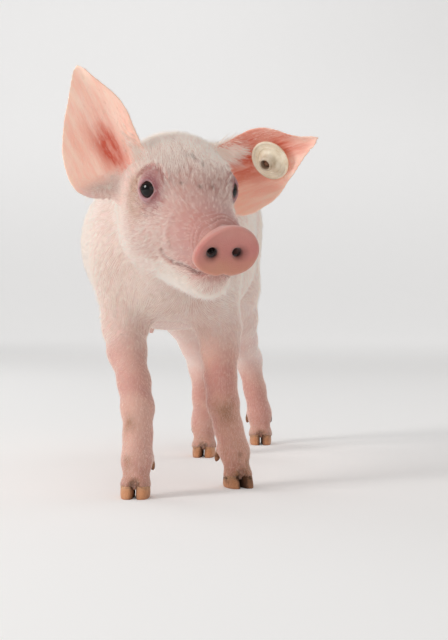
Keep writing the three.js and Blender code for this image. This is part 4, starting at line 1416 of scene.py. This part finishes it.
# the tufts of one piece of the coat, planted on the skin and turned along the lie of the hair
def coatTree():
    tree = Tree("coat", {
        "Piece": "NodeSocketFloat", "Density": "NodeSocketFloat", "Length": "NodeSocketFloat",
        "Lift": "NodeSocketFloat", "Cowlick": "NodeSocketFloat", "Stray": "NodeSocketFloat",
        "Seed": "NodeSocketInt", "Tuft": "NodeSocketObject", "Finish": "NodeSocketMaterial"})
    given = tree.start.outputs
    away = tree.math("ABSOLUTE", tree.math("SUBTRACT", tree.read("coatPiece", "FLOAT"), given["Piece"]))
    density = tree.math("MULTIPLY", tree.read("coatDensity", "FLOAT"), tree.math("LESS_THAN", away, 0.5))
    spread = tree.add("GeometryNodeDistributePointsOnFaces", {"distribute_method": "RANDOM"}, {
        "Mesh": given["Geometry"], "Density": tree.math("MULTIPLY", density, given["Density"]),
        "Seed": given["Seed"]})
    root = tree.keepAs("rootPlace", spread.outputs["Points"], tree.read("unwrap", "FLOAT_VECTOR"),
                       "FLOAT_VECTOR", "POINT")
    drift = tree.add("ShaderNodeTexNoise", {}, {"Scale": 24.0, "Detail": 1.0})
    cowlick = tree.vector("SUBTRACT", drift.outputs["Color"], (0.5, 0.5, 0.5))
    lay = tree.read("lay", "FLOAT_VECTOR")
    lay = tree.vector("ADD", lay, tree.vector("SCALE", cowlick, given["Cowlick"]))
    stray = tree.random("FLOAT_VECTOR", (-1, -1, -1), (1, 1, 1), 5)
    lay = tree.vector("ADD", lay, tree.vector("SCALE", stray, given["Stray"]))
    lift = tree.math("MULTIPLY", given["Lift"], tree.random("FLOAT", 0.3, 1.9, 3))
    lift = tree.math("MULTIPLY", lift, tree.read("coatLift", "FLOAT"))
    outward = spread.outputs["Normal"]
    across = tree.vector("CROSS_PRODUCT", outward, lay)
    flat = tree.vector("NORMALIZE", tree.vector("CROSS_PRODUCT", across, outward))
    growth = tree.vector("ADD", tree.vector("SCALE", flat, tree.math("COSINE", lift)),
                         tree.vector("SCALE", outward, tree.math("SINE", lift)))
    aimed = tree.add("FunctionNodeAlignRotationToVector", {"axis": "Z"}, {"Vector": growth})
    faced = tree.add("FunctionNodeAlignRotationToVector", {"axis": "X", "pivot_axis": "Z"}, {
        "Rotation": aimed.outputs[0], "Vector": outward})
    size = tree.math("MULTIPLY", tree.read("coatLength", "FLOAT"), tree.random("FLOAT", 0.6, 1.15, 7))
    tuft = tree.add("GeometryNodeObjectInfo", {}, {"Object": given["Tuft"]})
    planted = tree.add("GeometryNodeInstanceOnPoints", {}, {
        "Points": root, "Instance": tuft.outputs["Geometry"],
        "Rotation": faced.outputs[0], "Scale": tree.math("MULTIPLY", size, given["Length"])})
    chance = tree.random("FLOAT", 0.0, 1.0, 11)
    last = tree.keepAs("tuftRandom", planted.outputs[0], chance, "FLOAT", "INSTANCE")
    last = tree.add("GeometryNodeRealizeInstances", {}, {"Geometry": last}).outputs[0]
    place = tree.vector("ADD", tree.read("rootPlace", "FLOAT_VECTOR"), tree.read("patch", "FLOAT_VECTOR"))
    last = tree.keepAs("OFBake", last, place, "FLOAT2", "CORNER")
    tone = tree.math("ADD", tree.math("MULTIPLY", tree.read("reach", "FLOAT"), 0.6),
                     tree.math("MULTIPLY", tree.read("tuftRandom", "FLOAT"), 0.4))
    last = tree.keepAs("tuftShade", last, tone, "FLOAT", "POINT")
    for name in ("patch", "rootPlace", "lay", "strand", "coatDensity", "coatLength", "coatLift", "coatPiece",
                 "reach", "unwrap"):
        last = tree.add("GeometryNodeRemoveAttribute", {}, {"Geometry": last, "Name": name}).outputs[0]
    finish = tree.add("GeometryNodeSetMaterial", {}, {"Geometry": last, "Material": given["Finish"]})
    tree.group.links.new(finish.outputs[0], tree.end.inputs[0])
    return tree


def growCoat():
    tree = coatTree()
    tuft = linked("tuft", tuftMesh())
    tuftPoints, tuftTriangles = len(tuft.data.vertices), len(tuft.data.loops) - 2 * len(tuft.data.polygons)
    for piece, name in enumerate(coat["names"]):
        grown = linked(name, skin.data.copy())
        modifier = grown.modifiers.new("tufts", "NODES")
        modifier.node_group = tree.group
        values = {
            "Piece": float(piece), "Density": coat["perSquareMetre"] * coat["thin"], "Length": coat["length"],
            "Lift": math.radians(coat["lift"]), "Cowlick": coat["cowlick"], "Stray": coat["stray"],
            "Seed": 20 + piece, "Tuft": tuft, "Finish": coatPaint}
        for key, value in values.items():
            modifier[tree.ids[key]] = value
        evaluated(grown)
        tufts = len(grown.data.vertices) // tuftPoints
        print(name, tufts * coat["hairs"], "hairs,", tufts * tuftTriangles, "triangles")
        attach(grown, "root")
    bpy.data.objects.remove(tuft)


growCoat()


# gives a finished piece its material and its place in the model
def settle(name, mesh, material, cadName):
    mesh.materials.append(material)
    piece = linked(name, mesh)
    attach(piece, "root")
    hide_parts(cadName)


# eyes

eyeLook = {
    "iris": srgb(34, 18, 12),
    "pupil": srgb(5, 4, 4),
    "white": srgb(214, 190, 180),
    "whiteRed": srgb(190, 140, 132),
    "segments": 56,
    "rings": 36,
    "bulge": 0.045,
    "gazeBack": 0.06,
    "gap": 0.05,
}


def paintEye():
    paint = Paint("wetEye")
    towards = paint.stored("facing")
    streak = paint.noise(1400, 3, 0.6)
    colour = paint.mix(towards.step(0.88, 0.92), eyeLook["iris"], eyeLook["pupil"])
    colour = paint.mix(streak * 0.5, colour, eyeLook["pupil"])
    white = paint.mix(streak, eyeLook["white"], eyeLook["whiteRed"])
    colour = paint.mix(1 - towards.step(0.70, 0.76), colour, white)
    paint.shade(Base_Color=colour, Roughness=0.03 + streak * 0.03, IOR=1.38)
    return paint.material


eyePaint = paintEye()


def makeEye(side, name, cadName):
    at, outward, backward, up = eyeAxes(side)
    gaze = unit(outward + eyeLook["gazeBack"] * backward)
    basis = np.stack([unit(np.cross(up, gaze)), unit(np.cross(gaze, np.cross(up, gaze))), gaze])
    work = bmesh.new()
    bmesh.ops.create_uvsphere(work, u_segments=eyeLook["segments"], v_segments=eyeLook["rings"], radius=1)
    ball = np.array([vert.co for vert in work.verts], float)
    swell = 1 + eyeLook["bulge"] * soft(ball[:, 2], 0.72, 1.0)
    places = toRow(outOfHead((ball * swell[:, None] * (eyeShape["radius"] - eyeLook["gap"])) @ basis + at))
    for vert, place in zip(work.verts, places):
        vert.co = place
    bmesh.ops.recalc_face_normals(work, faces=work.faces[:])
    mesh = bpy.data.meshes.new(name)
    work.to_mesh(mesh)
    work.free()
    shadeSmooth(mesh)
    store(mesh, "facing", ball[:, 2])
    settle(name, mesh, eyePaint, cadName)


makeEye(1, "eyeballLeft", "eye_left")
makeEye(-1, "eyeballRight", "eye_right")
print("eyes ready")


# hooves and dewclaws

hoofLook = {
    "horn": srgb(214, 150, 106),
    "hornDark": srgb(176, 112, 72),
    "hornPale": srgb(226, 176, 136),
    "dirt": srgb(80, 48, 26),
    "ripple": 0.02,
    "rings": 26,
    "sides": 44,
    "spurRings": 16,
    "spurSides": 20,
    "intoSkin": 1.6,
    "sharpAt": 50,
    "mud": {"front_left": 0.5, "front_right": 0.1, "hind_left": 0.3, "hind_right": 0.15},
    "spurMud": 0.7,
}


def paintHoof():
    paint = Paint("hoofHorn")
    rise, seam = paint.stored("rise"), paint.stored("seam")
    coarse = paint.noise(70, 4, 0.6)
    fine = paint.noise(600, 4, 0.6)
    drawn = paint.node("ShaderNodeMapping", {}, {"Vector": paint.objectSpace(), "Scale": (6.0, 6.0, 0.7)})
    grain = paint.noise(220, 3, 0.55, drawn)
    soil = seam * (coarse.step(0.25, 0.55) * 0.7 + 0.3) + coarse.step(0.5, 0.68) * 0.45
    soil = soil + rise.step(0.6, 1.0) * fine.step(0.35, 0.65) * 0.45
    colour = paint.layers(hoofLook["horn"], hoofLook, [
        (grain.step(0.3, 0.7) * 0.5, "hornDark"),
        (rise.step(0.55, 1.0) * 0.75, "hornPale"),
        ((1 - rise.step(0.0, 0.3)) * 0.6, "hornDark"),
        (soil, "dirt"),
    ])
    paint.shade(
        Base_Color=colour,
        Roughness=(0.42 + soil * 0.4).clamp(),
        Normal=paint.bump(grain * 0.12 + fine * 0.4 + soil * 0.8, 0.0003, 0.35),
        IOR=1.5,
    )
    return paint.material


hoofPaint = paintHoof()


# rows of points joined into a tube, closed by a fan at each end, or into a ring with no ends
def gridMesh(name, rows, ring=False):
    rows = np.asarray(rows, float)
    count, sides = rows.shape[:2]
    points = rows.reshape(-1, 3)
    faces = []
    for i in range(count if ring else count - 1):
        j = (i + 1) % count
        for k in range(sides):
            m = (k + 1) % sides
            faces.append((i * sides + k, i * sides + m, j * sides + m, j * sides + k))
    if not ring:
        points = np.vstack([points, rows[0].mean(0), rows[-1].mean(0)])
        base, top = count * sides, count * sides + 1
        for k in range(sides):
            m = (k + 1) % sides
            faces += [(m, k, base), ((count - 1) * sides + k, (count - 1) * sides + m, top)]
    mesh = bpy.data.meshes.new(name)
    mesh.from_pydata(toRow(points).tolist(), [], faces)
    shadeSmooth(mesh)
    work = bmesh.new()
    work.from_mesh(mesh)
    bmesh.ops.recalc_face_normals(work, faces=work.faces[:])
    work.to_mesh(mesh)
    work.free()
    return mesh


def finishHorn(kind, cadKind, name, side, rows, rise, seam):
    which = "inner" if (side > 0) != name.endswith("left") else "outer"
    mesh = gridMesh(kind, rows)
    mesh.set_sharp_from_angle(angle=math.radians(hoofLook["sharpAt"]))
    store(mesh, "rise", rise)
    store(mesh, "seam", seam)
    settle(f"{kind}_{name}_{which}", mesh, hoofPaint, f"{cadKind}_{name}_{which}")


def makeClaw(name, side):
    shape = footShape
    width, cleft = shape["clawWidth"][girdleOf(name)], shape["clawCleft"]
    share, sides = shape["clawTipShare"], hoofLook["sides"]
    rises = np.concatenate([[0, 0.012, 0.04], np.linspace(0.09, 1, hoofLook["rings"])])
    turn = np.linspace(0, 2 * math.pi, sides, endpoint=False)
    c, s = np.cos(turn), np.sin(turn)
    outer, inner = (1 - share) * np.clip(s, 0, 1) ** 0.8, share * np.clip(-s, 0, 1) ** 0.5
    rows, climb, seam = [], [], []
    for rise in rises:
        bevel = 1 - 0.06 * math.exp(-rise / 0.02)
        ripple = hoofLook["ripple"] * math.sin(rise * 34) * min(rise * 6, 1)
        front = bevel * (shape["clawToe"] - (shape["clawToeDraw"] + 1.2) * rise) + ripple - 0.15
        back = shape["clawHeel"] - shape["clawHeelDraw"] * rise + 0.6 * math.sin(rise * math.pi)
        back = bevel * back - 0.15
        pull = 0.9 + 0.1 * math.sin(min(rise * 2.2, 1) * math.pi / 2)
        x = cleft + 0.12 + (width - 0.2) * (share + bevel * pull * (outer - inner * 0.98))
        x = x + ripple * np.clip(s, 0, 1)
        y = 1 - np.where(c > 0, front, back) * c
        top = shape["coronet"] - shape["slope"] * (y - 2)
        top = top + hoofLook["intoSkin"] * max(rise - 0.9, 0) * 10 - 0.3
        squeeze = 1 - 0.5 * max(rise - 0.93, 0)
        x = cleft + (x - cleft) * squeeze - 0.45 + 0.03 * np.clip(4 - y, 0, 20)
        rows.append(footPoint(name, np.column_stack([side * x, y, rise * top])))
        climb.append(np.full(sides, rise))
        seam.append(np.clip(-s, 0, 1) ** 0.5 * 0.9 + hoofLook["mud"][name] * (0.2 + 0.8 * rise))
    climb, seam = np.concatenate(climb + [[0, 1]]), np.concatenate(seam + [[0.4, 0.4]])
    finishHorn("claw", "hoof", name, side, rows, climb, seam)


def makeSpur(name, side):
    shape = footShape
    length = shape["spurLength"] - 0.6
    # share of the radius, height
    profile = [(0.2, 0), (0.45, 0.5), (0.75, 2), (0.95, 4.5), (1.0, 8), (0.96, 11), (0.8, length)]
    shares, rises = zip(*profile)
    heights = np.linspace(0, length, hoofLook["spurRings"])
    radii = np.interp(heights, rises, shares) * (shape["spurRadius"] - 0.15)
    turn = np.linspace(0, 2 * math.pi, hoofLook["spurSides"], endpoint=False)
    splay, tilt = math.radians(-side * shape["spurSplay"]), math.radians(90) + math.radians(shape["spurLean"])
    aroundY = np.array([
        [math.cos(splay), 0, math.sin(splay)], [0, 1, 0], [-math.sin(splay), 0, math.cos(splay)]])
    aroundX = np.array([[1, 0, 0], [0, math.cos(tilt), -math.sin(tilt)], [0, math.sin(tilt), math.cos(tilt)]])
    rows = []
    for height, radius in zip(heights, radii):
        ring = np.column_stack([radius * np.cos(turn), np.full(len(turn), height), radius * np.sin(turn)])
        local = ring @ aroundX.T @ aroundY.T + [side * shape["spurSpread"], shape["spurBehind"], 0]
        rows.append(anklePoint(name, local + [0, 0, shape["spurRise"] - shape["spurLength"]]))
    climb = np.concatenate([np.repeat(heights / shape["spurLength"], len(turn)), [0, 1]])
    finishHorn("spur", "dewclaw", name, side, rows, climb, np.full(len(climb), hoofLook["spurMud"]))


for name in legShape:
    for side in (-1, 1):
        makeClaw(name, side)
        makeSpur(name, side)
print("hooves ready")


# ear tag

tagLook = {
    "cream": srgb(252, 244, 226),
    "yellow": srgb(206, 186, 150),
    "grime": srgb(132, 98, 70),
    # painted shade: the pin and the bore walls darkened so the hole in the boss reads dark
    "pin": srgb(120, 84, 60),
    "glow": 0.05,
    "segments": 72,
    "sharpAt": 38,
}


def paintTag():
    paint = Paint("tagPlastic")
    reach = paint.stored("reach")
    cloud = paint.noise(130, 4, 0.6)
    fine = paint.noise(800, 3, 0.6)
    soil = (1 - reach.step(0.3, 0.5)) * (0.2 + cloud * 0.5) + cloud.step(0.6, 0.76) * 0.25
    colour = paint.layers(tagLook["cream"], tagLook, [
        (cloud * 1.4 - 0.3, "yellow"),
        (soil, "grime"),
        # painted shade in the boss's bore
        (1 - reach.step(0.2, 0.27), "pin"),
    ])
    paint.shade(
        Base_Color=colour,
        Emission_Color=colour,
        Emission_Strength=tagLook["glow"],
        Roughness=(0.34 + soil * 0.35 + fine * 0.08).clamp(),
        Normal=paint.bump(fine, 0.0002, 0.5),
        Subsurface_Weight=0.12,
        Subsurface_Radius=(1.0, 0.8, 0.5),
        Subsurface_Scale=0.002,
    )
    return paint.material


tagPaint = paintTag()


def earPoint(side, u, v):
    t = earShape["rootAt"] + (earShape["length"] - earShape["rootAt"]) * u
    inner, outer = earEdges(side, np.array(t))
    root, along, across, out = earAxes(side)
    return outOfHead(root + along * t + across * (v * (inner + outer) - inner) + out * earDepth(u, v))


def tagAxes():
    t = tagShape["along"]
    inner, outer = earEdges(1, np.array(float(t)))
    u = (t - earShape["rootAt"]) / (earShape["length"] - earShape["rootAt"])
    v = (tagShape["across"] + inner) / (inner + outer)
    along = unit(earPoint(1, u + 0.05, v) - earPoint(1, u - 0.05, v))
    across = unit(earPoint(1, u, v + 0.05) - earPoint(1, u, v - 0.05))
    normal = unit(np.cross(along, across))
    if normal @ (earAxes(1)[3] @ headTurn) < 0:
        normal = -normal
    facing = np.array(tagShape["facing"]) @ headTurn
    normal = unit(normal + (facing - normal) * tagShape["lean"])
    along = unit(along - normal * (along @ normal))
    return earPoint(1, u, v), np.stack([np.cross(normal, along), normal, along])


def makeTagPiece(name, cadName, profile, ring):
    centre, axes = tagAxes()
    turn = np.linspace(0, 2 * math.pi, tagLook["segments"], endpoint=False)
    rows = [centre + np.column_stack([r * np.cos(turn), np.full(len(turn), h), r * np.sin(turn)]) @ axes
            for r, h in profile]
    mesh = gridMesh(name, rows, ring)
    mesh.set_sharp_from_angle(angle=math.radians(tagLook["sharpAt"]))
    reach = np.concatenate([np.repeat([r for r, h in profile], len(turn)), [] if ring else [0, 0]])
    store(mesh, "reach", reach / tagShape["discRadius"])
    settle(name, mesh, tagPaint, cadName)


def makeTag():
    front, back, disc, boss = (tagShape[k] for k in ("front", "back", "discRadius", "bossRadius"))
    bore, pin, rear, top = (tagShape[k] for k in ("boreRadius", "pinRadius", "backRadius", "bossHeight"))
    # radius and height along the pin
    button = [
        (bore, front), (disc - 0.9, front), (disc - 0.2, front + 0.2), (disc, front + 0.8),
        (disc - 0.2, front + 1.5), (disc - 0.9, front + 1.8), (disc - 1.9, front + 1.6),
        (disc - 2.3, front + 1.2), (disc - 4.6, front + 1.2), (disc - 4.9, front + 1.5),
        (disc - 5.5, front + 1.5), (disc - 5.8, front + 1.2), (boss + 2.4, front + 1.5),
        (boss + 1.2, front + 2.1), (boss + 0.4, front + 3.2), (boss, front + 4.8),
        (boss - 0.5, front + top - 0.9), (boss - 0.9, front + top - 0.1), (boss - 1.5, front + top),
        (bore + 0.2, front + top - 0.3), (bore, front + top - 0.9)]
    stud = [
        (0.5, back - 1.8), (rear - 1.2, back - 1.8), (rear - 0.3, back - 1.5), (rear, back - 0.9),
        (rear - 0.3, back - 0.3), (rear - 1, back), (pin + 2.2, back + 0.1), (pin + 0.7, back + 0.8),
        (pin, back + 2), (pin, front + top - 3.6), (pin - 0.5, front + top - 2.6), (0.7, front + top - 1.7)]
    makeTagPiece("tagButton", "ear_tag_button", button, True)
    makeTagPiece("tagStud", "ear_tag_stud", stud, False)


makeTag()
print("tag ready")


# floor, light and camera

studio = {
    "floor": srgb(243, 242, 241),
    "floorDark": srgb(225, 225, 225),
    "halfWidth": 6,
    "front": -6,
    "bendAt": 2.2,
    "bend": 1.5,
    "wall": 6,
    "paperGlow": 0.34,
    "world": 0.43,
    "lights": [
        # place, aim, size, watts, warmth
        ([-1.55, -0.95, 0.9], [0, -0.1, 0.12], 0.7, 16.8, (1.0, 0.98, 0.96)),
        ([-1.1, 1.0, 0.7], [0, 0, 0.45], 1.0, 4, (1.0, 1.0, 1.0)),
        ([1.2, 1.0, 0.8], [0, 0, 0.45], 1.0, 2.5, (1.0, 1.0, 1.0)),
        ([0.3, -2.2, 0.5], [0, 0, 0.15], 1.4, 4, (1.0, 0.98, 0.97)),
        ([0.1, -0.6, 2.0], [0, -0.4, 0], 1.6, 4.6, (1.0, 1.0, 1.0)),
    ],
    "camera": [179, -1434, 185],
    "azimuth": 5.5,
    "pitch": -2.3,
    "lens": 107.55,
}


def makeFloor():
    bendAt, bend, halfWidth = studio["bendAt"], studio["bend"], studio["halfWidth"]
    curve = [(studio["front"], 0), (bendAt, 0)]
    for k in range(1, 17):
        turn = k / 16 * math.pi / 2
        curve.append((bendAt + bend * math.sin(turn), bend - bend * math.cos(turn)))
    curve.append((bendAt + bend, studio["wall"]))
    points = [(x, y, z) for y, z in curve for x in (-halfWidth, halfWidth)]
    faces = [(2 * i, 2 * i + 1, 2 * i + 3, 2 * i + 2) for i in range(len(curve) - 1)]
    mesh = bpy.data.meshes.new("studioFloor")
    mesh.from_pydata(points, [], faces)
    shadeSmooth(mesh)
    paint = Paint("studioPaper")
    across, back, up = paint.parts(paint.objectSpace())
    glow = 0.14 + back.step(1.2, 2.2) * 0.52 + up.step(0.04, 0.5) * 0.3
    glow = glow - across.step(-0.6, 0.6) * up.step(0.1, 0.8) * 0.3
    paint.shade(
        Base_Color=paint.mix(paint.noise(3, 2, 0.5) * 0.04, studio["floor"], studio["floorDark"]),
        Emission_Color=paint.mix(glow.clamp(), (0.0, 0.0, 0.0), (1.0, 1.0, 1.0)),
        Emission_Strength=studio["paperGlow"],
        Roughness=0.6,
        Specular_IOR_Level=0.0,
    )
    mesh.materials.append(paint.material)
    linked("studioFloor", mesh)


def makeLights():
    world = bpy.data.worlds.new("studioAir")
    bpy.context.scene.world = world
    world.use_nodes = True
    air = world.node_tree.nodes["Background"].inputs
    air["Color"].default_value = (1, 1, 1, 1)
    air["Strength"].default_value = studio["world"]
    for i, (place, aim, size, watts, warmth) in enumerate(studio["lights"]):
        data = bpy.data.lights.new(f"softbox{i}", "AREA")
        data.shape, data.size, data.energy, data.color = "DISK", size, watts, warmth
        lamp = linked(f"softbox{i}", data)
        lamp.location = place
        lamp.rotation_euler = (Vector(aim) - Vector(place)).to_track_quat("-Z", "Y").to_euler()


def makeCamera():
    data = bpy.data.cameras.new("studioCamera")
    data.lens, data.sensor_width, data.sensor_fit = studio["lens"], 36, "AUTO"
    data.clip_start, data.clip_end = 0.05, 30
    camera = linked("studioCamera", data)
    camera.location = toRow(studio["camera"]).tolist()
    camera.rotation_euler = (math.radians(90 + studio["pitch"]), 0, math.radians(studio["azimuth"]))
    bpy.context.scene.camera = camera


makeFloor()
makeLights()
makeCamera()
bpy.context.scene.view_settings.view_transform = "Standard"
